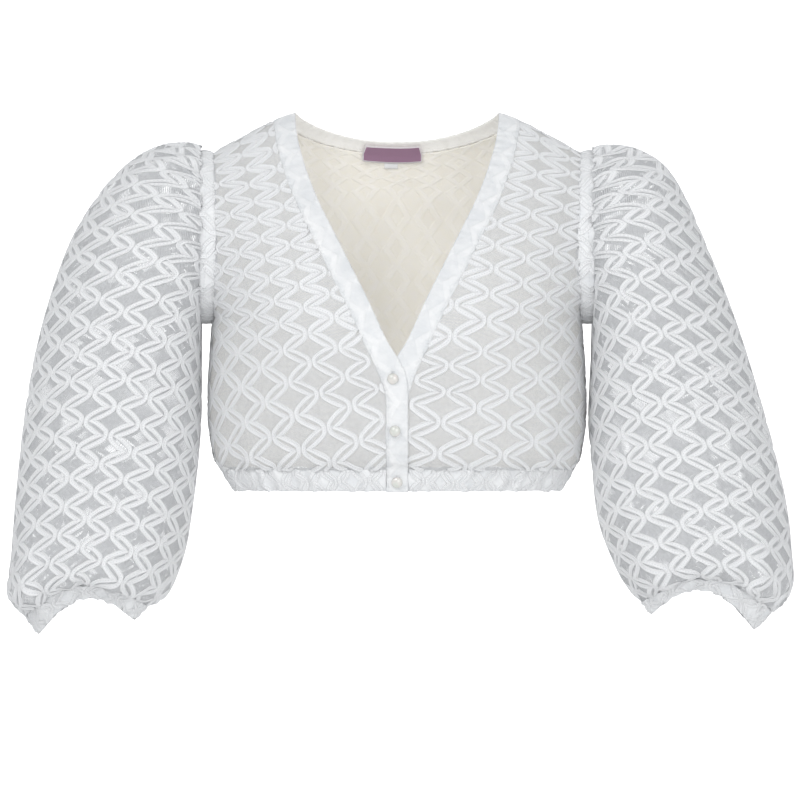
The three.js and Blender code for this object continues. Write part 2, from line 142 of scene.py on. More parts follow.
@dataclass(frozen=True)
class Section:
    """A section of a puff sleeve between its outer and inner points in the front view.

    It reaches as far forwards and backwards (deep) from a middle (mid_y), and its front and back lie
    higher (arch) than the line between the two points.
    """

    out_x: float
    out_z: float
    in_x: float
    in_z: float
    deep: float
    mid_y: float
    arch: float = 0.0


FRONT_ROWS = [FrontRow(*row) for row in (
    (-10.5, -99.5, -375, 10.8, -99.5, -375, 160, -375, 180, 84, 0, 56, 90, 1),
    (-10.5, -107, -353, 10.8, -107, -353, 174, -353, 180, 90, 0, 60, 90, 1),
    (-10.5, -119, -340, 10.8, -119, -340, 181.5, -340, 180, 95, 0, 66, 90, 1),
    (-10.5, -129, -315, 10.8, -129, -315, 187.5, -313, 180, 98, 0, 70, 90, 1),
    (-10.5, -133.5, -285, 10.8, -133.5, -285, 188.5, -282, 180, 99, 0, 72, 90, 1),
    (-9, -134.5, -262, 14, -134.5, -271, 187.5, -256, 180, 97, 0, 72, 90, 1),
    (0, -133.5, -243, 20.5, -134, -254, 186, -232, 180, 94, -0.02, 71, 90, 1),
    (11, -130.5, -225, 30, -132, -234, 184, -206, 180, 86, -0.05, 68, 90, 0.5),
    (28, -123, -188, 47, -127, -197, 0, 0, 142, 70, -0.08, 50, 66, 0),
    (46, -112, -152, 65, -118, -161, 0, 0, 116, 52, -0.1, 44, 54, 0),
    (62, -99, -120, 81, -105, -129, 0, 0, 95, 38, -0.02, 36, 44, 0),
    (77, -83, -90, 96, -88, -98.5, 0, 0, 75, 30, 0.03, 30, 36, 0),
    (89, -62, -60, 109, -66, -67, 0, 0, 56, 25, 0.08, 25, 24, 0),
    (98, -37, -30, 118.5, -40, -35, 0, 0, 36, 22, 0.05, 22, 14, 0),
    (101.5, -15, -8, 122.5, -16, -12, 0, 0, 17, 20, 0.02, 20, 4, 0),
    (102, 4, 2, 123, 4, -6, 0, 0, 0, 22, 0, 22, 0, 0),
)]

BACK_ROWS = [BackRow(*row) for row in (
    (92, -375, 160, -375, 180, 90, 50, 90),
    (98, -353, 174, -353, 180, 96, 54, 90),
    (108, -340, 181.5, -340, 180, 100, 58, 90),
    (117, -315, 187.5, -313, 180, 103, 62, 90),
    (121, -285, 188.5, -282, 180, 104, 64, 90),
    (121.5, -250, 187, -250, 180, 103, 64, 90),
    (119, -206, 184, -206, 180, 101, 63, 90),
    (116, -172, 0, 0, 142, 85, 52, 68),
    (111, -138, 0, 0, 116, 72, 50, 50),
    (103, -106, 0, 0, 94, 65, 50, 38),
    (92, -73, 0, 0, 74, 60, 55, 30),
)]

# Yoke rows between the shoulder blades and the neck: armhole angle and share of the way
BACK_YOKE = ((56.0, 0.3), (37.0, 0.56), (18.0, 0.8))

BACK_NECK = [NeckPoint(neck, edge) for neck, edge in (
    ((0, 70, -25), (0, 78, -37)),
    ((38, 66, -22.5), (40, 74, -34)),
    ((72, 50, -14), (80, 57, -25)),
    ((94, 27, -4), (108, 31, -13)),
    ((102, 4, 2), (123, 4, -6)),
)]

RIGHT_SLEEVE = [Section(*row) for row in (
    (197, -37, 197, -207, 62, 4),
    (210, -33.5, 196.5, -217, 70, 4),
    (232, -34, 196.5, -230, 78, 3),
    (256, -42, 196.5, -246, 84, 2),
    (280, -60, 196.5, -263, 88, 1),
    (303, -88, 196.5, -284, 90, 0),
    (325, -126, 197, -309, 91, -2),
    (343, -174, 199, -337, 91, -3),
    (358, -228, 202, -367, 91, -5),
    (369, -287, 206, -397, 91, -6),
    (376, -346, 210, -424, 90, -8),
    (381, -400, 216, -447, 88, -9),
    (384, -446, 225, -467, 83, -10, 4),
    (384, -478, 236, -481, 74, -10, 14),
    (369, -499, 251, -489, 58, -10, 26),
    (355.5, -517, 264.5, -503, 46, -10, 28),
)]

LEFT_SLEEVE = [Section(*row) for row in (
    (197, -37, 197, -207, 62, 4),
    (209, -34, 196, -217, 70, 4),
    (229, -34, 195.5, -230, 78, 3),
    (251, -40.5, 195, -246, 84, 2),
    (271, -56, 194, -263, 88, 1),
    (290, -88, 193, -284, 90, 0),
    (308, -130, 192.5, -308, 91, -2),
    (327, -177, 194.5, -335, 91, -3),
    (345, -228, 197, -362, 91, -5),
    (361, -281, 199.5, -389, 91, -6),
    (376, -336, 204, -412, 90, -8),
    (388, -390, 212, -434, 88, -9),
    (393, -437, 222, -455, 83, -10, 4),
    (391, -470, 234, -471, 74, -10, 14),
    (374, -495, 246, -485, 58, -10, 28),
    (355, -513, 256, -497.5, 48, -10, 31.5),
)]


def smooth(share: np.ndarray | float) -> np.ndarray:
    """Return a share clamped to 0..1 and eased at both ends."""
    t = np.clip(share, 0.0, 1.0)
    return t * t * (3 - 2 * t)


def mirrored(points: np.ndarray) -> np.ndarray:
    """Return points reflected in the plane between right and left."""
    return points * np.array([-1.0, 1.0, 1.0])


def catmull(points: np.ndarray, per_span: int) -> np.ndarray:
    """Refine a list of points, or of rows of points, with a Catmull-Rom curve.

    Args:
        points: Array whose first axis is the one to refine.
        per_span: New steps in each old span.

    Returns:
        The refined array, with the old points kept.
    """
    padded = np.concatenate([2 * points[:1] - points[1:2], points, 2 * points[-1:] - points[-2:-1]])
    places = np.linspace(0, len(points) - 1, (len(points) - 1) * per_span + 1)
    index = np.minimum(places.astype(int), len(points) - 2)
    t = (places - index).reshape((-1,) + (1,) * (points.ndim - 1))
    a, b, c, d = (padded[index + k] for k in range(4))
    return 0.5 * (2 * b + (c - a) * t + (2 * a - 5 * b + 4 * c - d) * t**2
                  + (3 * b - a - 3 * c + d) * t**3)


def bezier(controls: np.ndarray, count: int) -> np.ndarray:
    """Return count + 1 points of a cubic Bezier curve with four control points.

    Args:
        controls: The four points.
        count: Spans of the curve.

    Returns:
        The points, a row each.
    """
    t = np.linspace(0, 1, count + 1)[:, None]
    a, b, c, d = controls
    return (1 - t)**3 * a + 3 * (1 - t)**2 * t * b + 3 * (1 - t) * t**2 * c + t**3 * d


def spaced(points: np.ndarray, count: int) -> np.ndarray:
    """Return count + 1 points at even lengths along a polyline.

    Args:
        points: The polyline, a row each point.
        count: Spans of the result.

    Returns:
        The points, a row each.
    """
    length = lengths(points)
    wanted = np.linspace(0, length[-1], count + 1)
    return np.stack([np.interp(wanted, length, points[:, k]) for k in range(3)], axis=1)


def lengths(points: np.ndarray) -> np.ndarray:
    """Return the running length along a polyline, from 0."""
    steps = np.linalg.norm(np.diff(points, axis=0), axis=1)
    return np.concatenate([[0.0], np.cumsum(steps)])


def armhole_point(phi: float, toward: int, outwards: float = 0, flare: float = 0) -> np.ndarray:
    """Return a point of the body's left armhole edge.

    Args:
        phi: Angle in degrees, 0 at the shoulder and 180 under the arm.
        toward: -1 on the front and 1 on the back.
        outwards: Distance from the seam along the arm.
        flare: Growth of the oval.

    Returns:
        The point, in millimetres.
    """
    angle = math.radians(phi)
    cut_in = FRONT_CUT_IN if toward < 0 else BACK_CUT_IN
    hollow = 0 if outwards > 0 else cut_in * math.sin(angle)**2
    return np.array([
        ARMHOLE_X - hollow + outwards,
        ARMHOLE_Y + toward * (ARMHOLE_HALF_DEPTH + flare) * math.sin(angle),
        ARMHOLE_Z + (ARMHOLE_HALF_HEIGHT + flare) * math.cos(angle),
    ])


def panel_controls(row: FrontRow | BackRow, toward: int) -> np.ndarray:
    """Return the control points of a row, from its inner edge to the side or armhole.

    Args:
        row: The row of the panel's table.
        toward: -1 on the front and 1 on the back.

    Returns:
        The four points.
    """
    start = np.array([row.edge_x, row.edge_y, row.edge_z])
    end = (armhole_point(row.phi, toward) if row.phi < UNDER_ARM
           else np.array([row.side_x, ARMHOLE_Y, row.side_z]))
    turn = math.radians(row.turn)
    climb = end[2] - start[2]
    first = start + np.array([row.reach, row.lean * row.reach, climb / 3])
    second = end + np.array([
        -row.back * math.cos(turn), toward * row.back * math.sin(turn), -climb / 3])
    return np.array([start, first, second, end])


def front_grid() -> np.ndarray:
    """Return the left front as rows of points, from above the hem casing to the shoulder."""
    return np.array([bezier(panel_controls(row, -1), FRONT_COLUMNS) for row in FRONT_ROWS[1:]])


def back_neck_curve(edge: bool) -> np.ndarray:
    """Return the back neck from the right shoulder to the left one, at its lace or free edge.

    Args:
        edge: Whether the lace's edge is wanted.

    Returns:
        The points, a row each.
    """
    half = np.array([point.edge if edge else point.neck for point in BACK_NECK], dtype=float)
    whole = np.concatenate([mirrored(half[:0:-1]), half])
    return catmull(whole, NECK_STEPS)


def back_half_grid() -> np.ndarray:
    """Work out the left half of the back, from the centre outwards.

    Returns:
        The points, a line of them for each row of the table.
    """
    lower = [bezier(panel_controls(row, 1), BACK_HALF_COLUMNS) for row in BACK_ROWS[1:]]
    tip = armhole_point(0, 1)
    neck = spaced(back_neck_curve(edge=True), 2 * BACK_NECK_COLUMNS)[BACK_NECK_COLUMNS:]
    seam_share = np.linspace(0, 1, BACK_HALF_COLUMNS - BACK_NECK_COLUMNS + 1)[1:, None]
    top = np.concatenate([neck, neck[-1] + (tip - neck[-1]) * seam_share])
    blades = lower[-1]
    place = np.linspace(0, 1, BACK_HALF_COLUMNS + 1)[:, None]
    yoke = []
    for phi, share in BACK_YOKE:
        bulge = armhole_point(phi, 1) - (blades[-1] + (tip - blades[-1]) * share)
        yoke.append(blades + (top - blades) * share + bulge * place)
    return np.array([*lower, *yoke, top])


def back_grid() -> np.ndarray:
    """Return the whole back as rows of points from right to left."""
    half = back_half_grid()
    return np.concatenate([mirrored(half[:, :0:-1]), half], axis=1)


def sleeve_ring(section: Section, count: int, side: Side) -> np.ndarray:
    """Return a closed sleeve section as count points; the first is outermost, then the front.

    Args:
        section: The section.
        count: Points of the ring.
        side: The sleeve's side.

    Returns:
        The points, a row each.
    """
    angle = np.arange(count) * TAU / count
    outward, forward = np.cos(angle), np.sin(angle)
    middle_x = (section.out_x + section.in_x) / 2
    middle_z = (section.out_z + section.in_z) / 2
    return np.stack([
        side.value * (middle_x + outward * (section.out_x - section.in_x) / 2),
        section.mid_y - forward * section.deep,
        middle_z + outward * (section.out_z - section.in_z) / 2 + section.arch * forward**2,
    ], axis=1)


@dataclass(frozen=True)
class Fold:
    """A soft ridge, or a trough where its height is negative, that fades away from a seam."""

    place: float
    width: float
    height: float
    reach: float
    slant: float = 0.0

    FAN = 0.6

    def relief(self, across: np.ndarray, away: np.ndarray, turn: float = 0.0) -> np.ndarray:
        """Return the fold's height at places across the cloth and distances from the seam.

        Args:
            across: Places across the cloth, in millimetres.
            away: Distances from the seam, in millimetres.
            turn: Width of a cloth that closes on itself, or 0.

        Returns:
            Heights in millimetres.
        """
        offset = across - self.place - self.slant * away
        if turn:
            offset = (offset + turn / 2) % turn - turn / 2
        spread = self.width * (1 + self.FAN * np.maximum(away, 0) / self.reach)
        return self.height * np.exp(-(offset / spread)**2) * (1 - smooth(away / self.reach))


@dataclass
class Cloth:
    """A surface that gives a point for each place across and along its lace, in millimetres.

    Args:
        grid: Points at the places across and along.
        across: Places across, evenly spaced.
        along: Places along, evenly spaced.
        low: Where the cloth begins, along for each column or across for each row.
        high: Where it ends, in the same way.
        by_column: Whether its edges are given by column.
        turn: Width of a cloth that closes on itself, or 0.
        top: True height of a cloth whose edges are given by row.
    """

    grid: np.ndarray
    across: np.ndarray
    along: np.ndarray
    low: np.ndarray
    high: np.ndarray
    by_column: bool
    turn: float = 0.0
    top: float = 0.0
    normals: np.ndarray = field(init=False)
    inside_out: bool = field(init=False, default=False)

    def __post_init__(self) -> None:
        """Work out the first normals."""
        self.refresh()

    def raw_normals(self) -> np.ndarray:
        """Work out the unit normals as the grid's own directions give them.

        Returns:
            A normal for each point of the grid.
        """
        points = self.grid
        if self.turn:
            points = np.concatenate([points[:, -3:-1], points, points[:, 1:3]], axis=1)
        d_along, d_across = np.gradient(points, axis=(0, 1))
        cross = np.cross(d_across, d_along)
        if self.turn:
            cross = cross[:, 2:-2]
        return cross / np.maximum(np.linalg.norm(cross, axis=2, keepdims=True), TINY)

    def refresh(self, axis: np.ndarray | None = None) -> None:
        """Work the normals out again, and turn them away from the axis points of the rows.

        Args:
            axis: A point for each row, which the cloth's face looks away from.
        """
        self.normals = self.raw_normals()
        if axis is not None:
            facing = np.sum((self.grid - axis[:, None, :]) * self.normals)
            self.inside_out = bool(facing < 0)
        if self.inside_out:
            self.normals = -self.normals

    def raise_by(self, relief: Callable[[np.ndarray, np.ndarray, np.ndarray], np.ndarray]) -> None:
        """Move the cloth along its normals by a height for (across, along, distance to the end).

        Args:
            relief: Gives the heights.
        """
        x = np.broadcast_to(self.across[None, :], self.grid.shape[:2])
        y = np.broadcast_to(self.along[:, None], self.grid.shape[:2])
        end = self.high[None, :] - y if self.by_column else self.top - y
        self.grid = self.grid + self.normals * relief(x, y, end)[..., None]
        self.refresh()

    def at(self, x: np.ndarray, y: np.ndarray, lift: np.ndarray | float = 0.0) -> np.ndarray:
        """Return the points at places across and along the cloth, lifted off it.

        Args:
            x: Places across the cloth.
            y: Places along it.
            lift: Heights over the cloth.

        Returns:
            The points, in millimetres.
        """
        if self.turn:
            x = np.mod(x, self.turn)
        u = (x - self.across[0]) / (self.across[1] - self.across[0])
        v = (y - self.along[0]) / (self.along[1] - self.along[0])
        j = np.clip(np.floor(u).astype(int), 0, self.grid.shape[1] - 2)
        i = np.clip(np.floor(v).astype(int), 0, self.grid.shape[0] - 2)
        s, t = (u - j)[..., None], (v - i)[..., None]
        point, normal = (
            (1 - t) * ((1 - s) * a[i, j] + s * a[i, j + 1])
            + t * ((1 - s) * a[i + 1, j] + s * a[i + 1, j + 1])
            for a in (self.grid, self.normals))
        return point + normal * np.asarray(lift)[..., None]

    def limits(self, place: np.ndarray) -> tuple[np.ndarray, np.ndarray]:
        """Return the cloth's ends across at places along it, or along it at places across.

        Args:
            place: Places along, or across where the edges are given by column.

        Returns:
            The lower and the higher end.
        """
        if self.by_column:
            x = np.mod(place, self.turn) if self.turn else place
            return np.interp(x, self.across, self.low), np.interp(x, self.across, self.high)
        return np.interp(place, self.along, self.low), np.interp(place, self.along, self.high)

    def margin(self, x: np.ndarray, y: np.ndarray) -> np.ndarray:
        """Return how far places lie inside the cloth's edges, below 0 where they are outside.

        Args:
            x: Places across the cloth.
            y: Places along it.

        Returns:
            The distances in millimetres.
        """
        if self.by_column:
            low, high = self.limits(x)
            room = np.minimum(y - low, high - y)
            ends = np.minimum(x - self.across[0], self.across[-1] - x)
            return room if self.turn else np.minimum(room, ends)
        low, high = self.limits(y)
        ends = np.minimum(y, self.top - y)
        return np.minimum(np.minimum(x - low, high - x), ends)

    def kept(self, x: np.ndarray, y: np.ndarray, spare: float) -> tuple[np.ndarray, np.ndarray]:
        """Return places moved back onto the cloth where they are past its edges.

        Args:
            x: Places across the cloth.
            y: Places along it.
            spare: How far past an edge a place may stay.

        Returns:
            The places across and along.
        """
        if self.by_column:
            low, high = self.limits(x)
            x = x if self.turn else np.clip(x, self.across[0], self.across[-1])
            return x, np.clip(y, low - spare, high + spare)
        y = np.clip(y, -spare, self.top + spare)
        low, high = self.limits(y)
        return np.clip(x, low - spare, high + spare), y


# Grid of a cloth: its step, how far it runs past the edges, and the finer steps of a table's spans
GRID_STEP = 2.5
EDGE_SPARE = 15.0
FINER_ALONG, FINER_ACROSS = 8, 4


def stretched(places: np.ndarray, values: np.ndarray, wanted: np.ndarray) -> np.ndarray:
    """Interpolate points along a line, and carry its two ends on straight.

    Args:
        places: Running places of the points.
        values: The points, a row each.
        wanted: Places to interpolate at.

    Returns:
        The points at the wanted places.
    """
    inside = np.stack([np.interp(wanted, places, values[:, k]) for k in range(3)], axis=1)
    for end, inner, beyond in ((0, 2, wanted < places[0]), (-1, -3, wanted > places[-1])):
        slope = (values[end] - values[inner]) / (places[end] - places[inner])
        inside[beyond] = values[end] + (wanted[beyond] - places[end])[:, None] * slope
    return inside


def panel_cloth(rows: np.ndarray, starts: np.ndarray, measured_at: float = 0.5) -> Cloth:
    """Make a cloth whose rows run across the body and whose columns keep a straight grain.

    Args:
        rows: Rows of points from the hem upwards.
        starts: Place across at which each row begins.
        measured_at: Share of the way across at which lengths along the cloth are true.

    Returns:
        The cloth.
    """
    fine = catmull(rows, FINER_ALONG).transpose(1, 0, 2)
    fine = catmull(fine, FINER_ACROSS).transpose(1, 0, 2)
    begin = catmull(starts[:, None], FINER_ALONG)[:, 0]
    run = np.array([lengths(row) for row in fine])
    high = begin + run[:, -1]
    across = np.arange(begin.min() - EDGE_SPARE, high.max() + EDGE_SPARE, GRID_STEP)
    even = np.array([stretched(begin[i] + run[i], fine[i], across) for i in range(len(fine))])
    rise = lengths(fine[:, round(measured_at * (fine.shape[1] - 1))])
    along = np.arange(0, rise[-1] + EDGE_SPARE, GRID_STEP)
    grid = np.array([stretched(rise, even[:, j], along) for j in range(len(across))])
    cloth = Cloth(grid.transpose(1, 0, 2), across, along,
                  np.interp(along, rise, begin), np.interp(along, rise, high), by_column=False,
                  top=float(rise[-1]))
    body_axis = np.stack([0 * along, 0 * along, cloth.grid[:, 0, 2]], axis=1)
    cloth.refresh(body_axis)
    return cloth


def tube_cloth(rings: np.ndarray, width: float, closed: bool = True) -> Cloth:
    """Make a cloth that runs round and is measured along from its first ring.

    Args:
        rings: Rings of points, a row each.
        width: The flat cloth's width, which is spread evenly round.
        closed: Whether the rings close on themselves.

    Returns:
        The cloth.
    """
    fine = catmull(rings, FINER_ALONG)
    if closed:
        fine = np.concatenate([fine, fine[:, :1]], axis=1)
    run = np.array([lengths(fine[:, j]) for j in range(fine.shape[1])])
    along = np.arange(-EDGE_SPARE, run[:, -1].max() + EDGE_SPARE, GRID_STEP)
    columns = [stretched(run[j], fine[:, j], along) for j in range(fine.shape[1])]
    across = np.linspace(0, width, fine.shape[1])
    cloth = Cloth(np.array(columns).transpose(1, 0, 2), across, along,
                  0 * across, run[:, -1], by_column=True, turn=width if closed else 0.0)
    cloth.refresh(cloth.grid[:, :-1].mean(axis=1))
    return cloth


@dataclass(frozen=True)
class Lattice:
    """Tape lace: pairs of tapes that touch at nodes in columns and part between them.

    Args:
        pitch: Distance between the columns of nodes.
        period: Distance between the nodes of a column.
        half_tape: Half of a tape's width.
        corner: Distance that a tape's sharp bend keeps from the next column.
        lean: Shift of the columns for each millimetre along them.
        drop: Fall of the rows for each millimetre across them.
        settle: Where the nodes begin and stop to draw together higher up, and how close.
        phase_x: Place of the first column.
        phase_y: Place of its first node.
        wander: Size of the soft unevenness of the whole lattice.
        seed: Start of that unevenness.
        wrap: Width of a cloth that closes on itself, or 0.
    """

    pitch: float = 32.0
    period: float = 32.0
    half_tape: float = 2.6
    corner: float = 9.2
    lean: float = 0.0
    drop: float = 0.0
    settle: tuple[float, float, float] = (0.0, 1.0, 1.0)
    phase_x: float = 0.0
    phase_y: float = 0.0
    wander: float = 1.2
    seed: float = 0.0
    wrap: float = 0.0

    NODE_SHARE = 0.26
    NODE_ROUND = 0.09
    BOW = 0.2
    HALF_STEPS = 8
    SPARE_COLUMNS = 3
    SWAY = 0.6
    TABLE = np.arange(-200.0, 1000.0, 2.0)

    def rounded_ramp(self, share: np.ndarray | float) -> np.ndarray:
        """Return twice the way past the node's share, rounded off at the node."""
        past = share - self.NODE_SHARE
        return np.sqrt(past**2 + self.NODE_ROUND**2) + past

    def bend(self, share: np.ndarray) -> np.ndarray:
        """Return how far a tape has left its column, from 0 at the node to 1 half a period on.

        Args:
            share: Share of half a period, from the node.

        Returns:
            The shares of the reach.
        """
        first, last = self.rounded_ramp(0.0), self.rounded_ramp(1.0)
        straight = (self.rounded_ramp(share) - first) / (last - first)
        return (1 - self.BOW) * straight + self.BOW * share**3

    def settled(self, y: np.ndarray) -> np.ndarray:
        """Return places along the cloth, drawn together where the lattice settles.

        Args:
            y: Places along an even lattice.

        Returns:
            The places on the cloth.
        """
        start, stop, share = self.settle
        step = self.TABLE[1] - self.TABLE[0]
        run = np.cumsum(1 - (1 - share) * smooth((self.TABLE - start) / (stop - start))) * step
        return np.interp(y, self.TABLE, run - np.interp(0.0, self.TABLE, run))

    def wandered(self, x: np.ndarray, y: np.ndarray) -> tuple[np.ndarray, np.ndarray]:
        """Return places moved by the soft unevenness of hand-laid tape.

        Args:
            x: Places across the cloth.
            y: Places along it.

        Returns:
            The places across and along.
        """
        turn = TAU / (self.wrap or SLEEVE_WIDTH)
        sway = self.wander * self.SWAY
        dx = np.sin(0.043 * y + 3 * turn * x + self.seed) + 0.6 * np.sin(0.11 * y + 2.1 * self.seed)
        dy = (np.sin(4 * turn * x - 0.031 * y + 1.7 + self.seed)
              + 0.5 * np.sin(8 * turn * x + self.seed))
        return x + sway * dx, y + sway * dy

    def paths(self, low: float, high: float, start: float, stop: float) -> list[np.ndarray]:
        """Return every tape's route as places across and along the cloth.

        Args:
            low: First place across.
            high: Last place across.
            start: First place along.
            stop: Last place along.

        Returns:
            Routes, an array of (across, along) pairs each.
        """
        reach = self.pitch - self.corner - self.half_tape
        stop = (stop + self.drop * high) / self.settle[2]
        leftmost = (low - self.phase_x - self.lean * stop) / self.pitch
        first = math.floor(leftmost) - self.SPARE_COLUMNS
        last = math.ceil((high - self.phase_x) / self.pitch) + self.SPARE_COLUMNS
        half = self.period / 2
        steps = np.arange(math.floor(start / half) - 1, math.ceil(stop / half) + 1, 1 / self.HALF_STEPS)
        routes = []
        for column in range(first, last):
            y = self.settled(self.phase_y + (half if column % 2 else 0.0) + steps * half)
            base = self.phase_x + column * self.pitch + self.lean * y
            share = np.abs((steps + 1) % 2 - 1)
            for x in (base + self.half_tape + reach * self.bend(share),
                      base - self.half_tape - reach * self.bend(share)):
                routes.append(np.stack(self.wandered(x, y - self.drop * x), axis=1))
        return routes


# A tape's section: places across it, and the heights of its face there
TAPE_OFFSETS = np.array([-2.65, -2.05, -1.2, 0.0, 1.2, 2.05, 2.65])
TAPE_LIFTS = np.array([0.25, 1.3, 1.0, 0.8, 1.0, 1.3, 0.25])
# Fewest points of a tape, and the least that a sharp bend's mitre is divided by
SHORTEST_TAPE = 4
MITRE_LIMIT = 0.2


def runs_inside(cloth: Cloth, route: np.ndarray, spare: float) -> list[np.ndarray]:
    """Cut a route into the stretches that lie on the cloth, with their ends on its edge.

    Args:
        cloth: The cloth.
        route: Places across and along, a row each.
        spare: How far past the edge a stretch may go.

    Returns:
        The stretches.
    """
    room = cloth.margin(route[:, 0], route[:, 1]) + spare
    runs: list[list[np.ndarray]] = []
    for k, point in enumerate(route):
        here = room[k] > 0
        if k and here != (room[k - 1] > 0):
            share = room[k - 1] / (room[k - 1] - room[k])
            edge = route[k - 1] + share * (point - route[k - 1])
            if here:
                runs.append([edge])
            else:
                runs[-1].append(edge)
        elif k == 0 and here:
            runs.append([])
        if here:
            runs[-1].append(point)
    return [np.array(run) for run in runs if len(run) >= SHORTEST_TAPE]


def mitred_sides(run: np.ndarray) -> np.ndarray:
    """Return the way across a route at each point, longer where it bends sharply.

    Args:
        run: Places across and along, a row each.

    Returns:
        A way for each place.
    """
    ahead = np.diff(run, axis=0)
    ahead /= np.maximum(np.linalg.norm(ahead, axis=1, keepdims=True), TINY)
    before = np.concatenate([ahead[:1], ahead])
    after = np.concatenate([ahead, ahead[-1:]])
    middle = (before + after) / 2
    middle /= np.maximum(np.sum(middle**2, axis=1, keepdims=True), MITRE_LIMIT)
    return np.stack([middle[:, 1], -middle[:, 0]], axis=1)


def scene_object(bm: bmesh.types.BMesh, name: str,
                 material: bpy.types.Material) -> bpy.types.Object:
    """Turn a bmesh into a smooth object of the scene in its finish, and free it.

    Args:
        bm: The bmesh.
        name: The object's name.
        material: Its finish.

    Returns:
        The object.
    """
    for face in bm.faces:
        face.smooth = True
    mesh = bpy.data.meshes.new(name)
    bm.to_mesh(mesh)
    bm.free()
    mesh.materials.append(material)
    obj = bpy.data.objects.new(name, mesh)
    bpy.context.scene.collection.objects.link(obj)
    return obj


class MeshMaker:
    """Gathers grids of points into one mesh, with each point's place on the cloth as its UV."""

    def __init__(self) -> None:
        """Start an empty mesh."""
        self.bm = bmesh.new()
        self.place = self.bm.verts.layers.float_vector.new("place")
        self.merge: list[Any] = []

    def strip(self, points: np.ndarray, places: np.ndarray, round_across: bool = False) -> None:
        """Add a grid of points.

        Args:
            points: Rows of points, in millimetres.
            places: Rows of (across, along) pairs, which become the UV map.
            round_across: Whether the last column meets the first one.
        """
        rows, columns = points.shape[:2]
        made = bmesh.ops.create_grid(
            self.bm, x_segments=columns - 1, y_segments=rows - 1, size=1.0)["verts"]
        for vert in made:
            j = round((vert.co.x + 1) / 2 * (columns - 1))
            i = round((vert.co.y + 1) / 2 * (rows - 1))
            vert[self.place] = (places[i, j, 0], places[i, j, 1], 0.0)
            vert.co = Vector(points[i, j]) * MM
            if round_across and j in (0, columns - 1):
                self.merge.append(vert)

    def finish(self, name: str, material: bpy.types.Material, wall: float = 0.0) -> bpy.types.Object:
        """Turn the gathered grids into an object.

        Args:
            name: The object's name.
            material: Its finish.
            wall: Thickness of the cloth in millimetres, or 0 for a net.

        Returns:
            The object, linked to the scene.
        """
        uv = self.bm.loops.layers.uv.new("cloth")
        for face in self.bm.faces:
            for loop in face.loops:
                loop[uv].uv = loop.vert[self.place].xy
        if self.merge:
            bmesh.ops.remove_doubles(self.bm, verts=self.merge, dist=MERGE_DISTANCE)
        obj = scene_object(self.bm, name, material)
        if wall:
            solid = obj.modifiers.new("Wall", "SOLIDIFY")
            solid.thickness = wall * MM
            solid.offset = -1.0
            solid.use_even_offset = True
        return obj


def sheet_points(cloth: Cloth, rows: int, columns: int, lift: float = 0.0,
                 pull: float = 0.0) -> tuple[np.ndarray, np.ndarray]:
    """Sample a cloth between its own edges.

    Args:
        cloth: The cloth.
        rows: Steps along it.
        columns: Steps across it.
        lift: Height over the cloth.
        pull: Distance that the sheet stays inside the edges.

    Returns:
        The points and their places.
    """
    if cloth.by_column:
        x = np.linspace(cloth.across[0], cloth.across[-1], columns + 1)
        low, high = cloth.limits(np.minimum(x, cloth.across[-1] - EDGE_GAP))
        share = np.linspace(0, 1, rows + 1)[:, None]
        y = low + pull + (high - low - 2 * pull) * share
        x = np.broadcast_to(x, y.shape)
    else:
        y = np.linspace(pull, cloth.top - pull, rows + 1)[:, None]
        low, high = cloth.limits(y)
        share = np.linspace(0, 1, columns + 1)[None, :]
        x = low + pull + (high - low - 2 * pull) * share
        y = np.broadcast_to(y, x.shape)
    points = cloth.at(x, y, lift)
    places = np.stack([x, y], axis=2)
    if cloth.turn:
        points[:, -1] = points[:, 0]
    if cloth.inside_out:
        points, places = points[:, ::-1], places[:, ::-1]
    return points, places


def cloth_sheet(name: str, cloth: Cloth, material: bpy.types.Material, rows: int, columns: int,
                lift: float = 0.0, wall: float = 0.0, pull: float = 0.0) -> bpy.types.Object:
    """Make a sheet that follows a cloth from edge to edge.

    Args:
        name: The object's name.
        cloth: The cloth.
        material: The sheet's finish.
        rows: Steps along it.
        columns: Steps across it.
        lift: Height over the cloth.
        wall: Thickness, or 0 for a net.
        pull: Distance that the sheet stays inside the edges.

    Returns:
        The object.
    """
    maker = MeshMaker()
    points, places = sheet_points(cloth, rows, columns, lift, pull)
    maker.strip(points, places, round_across=bool(cloth.turn))
    return maker.finish(name, material, wall)


def tape_lace(name: str, cloth: Cloth, lattice: Lattice, material: bpy.types.Material,
              spare: float = 0.5, lift: float = 0.0) -> bpy.types.Object:
    """Lay the lattice's tapes on a cloth as one piece, with raised edges.

    Args:
        name: The object's name.
        cloth: The net that carries the tapes.
        lattice: Where they run.
        material: Their finish.
        spare: How far they reach past the cloth's edge, under the band.
        lift: Height of the net's outer face.

    Returns:
        The object.
    """
    low, high = ((cloth.across[0], cloth.across[-1]) if cloth.by_column
                 else (float(cloth.low.min()), float(cloth.high.max())))
    maker = MeshMaker()
    sign = -1 if cloth.inside_out else 1
    scale = lattice.half_tape / Lattice.half_tape
    for route in lattice.paths(low, high, -lattice.period, cloth.along[-1]):
        if cloth.turn and not 0 <= route[:, 0].mean() < cloth.turn:
            continue
        for run in runs_inside(cloth, route, spare):
            side = mitred_sides(run) * sign
            x = run[:, :1] + side[:, :1] * TAPE_OFFSETS * scale
            y = run[:, 1:] + side[:, 1:] * TAPE_OFFSETS * scale
            x, y = cloth.kept(x, y, spare)
            points = cloth.at(x, y, np.broadcast_to(lift + TAPE_LIFTS * scale, x.shape))
            places = np.stack(np.broadcast_arrays(TAPE_OFFSETS, lengths(run)[:, None]), axis=2)
            maker.strip(points, places)
    return maker.finish(name, material)


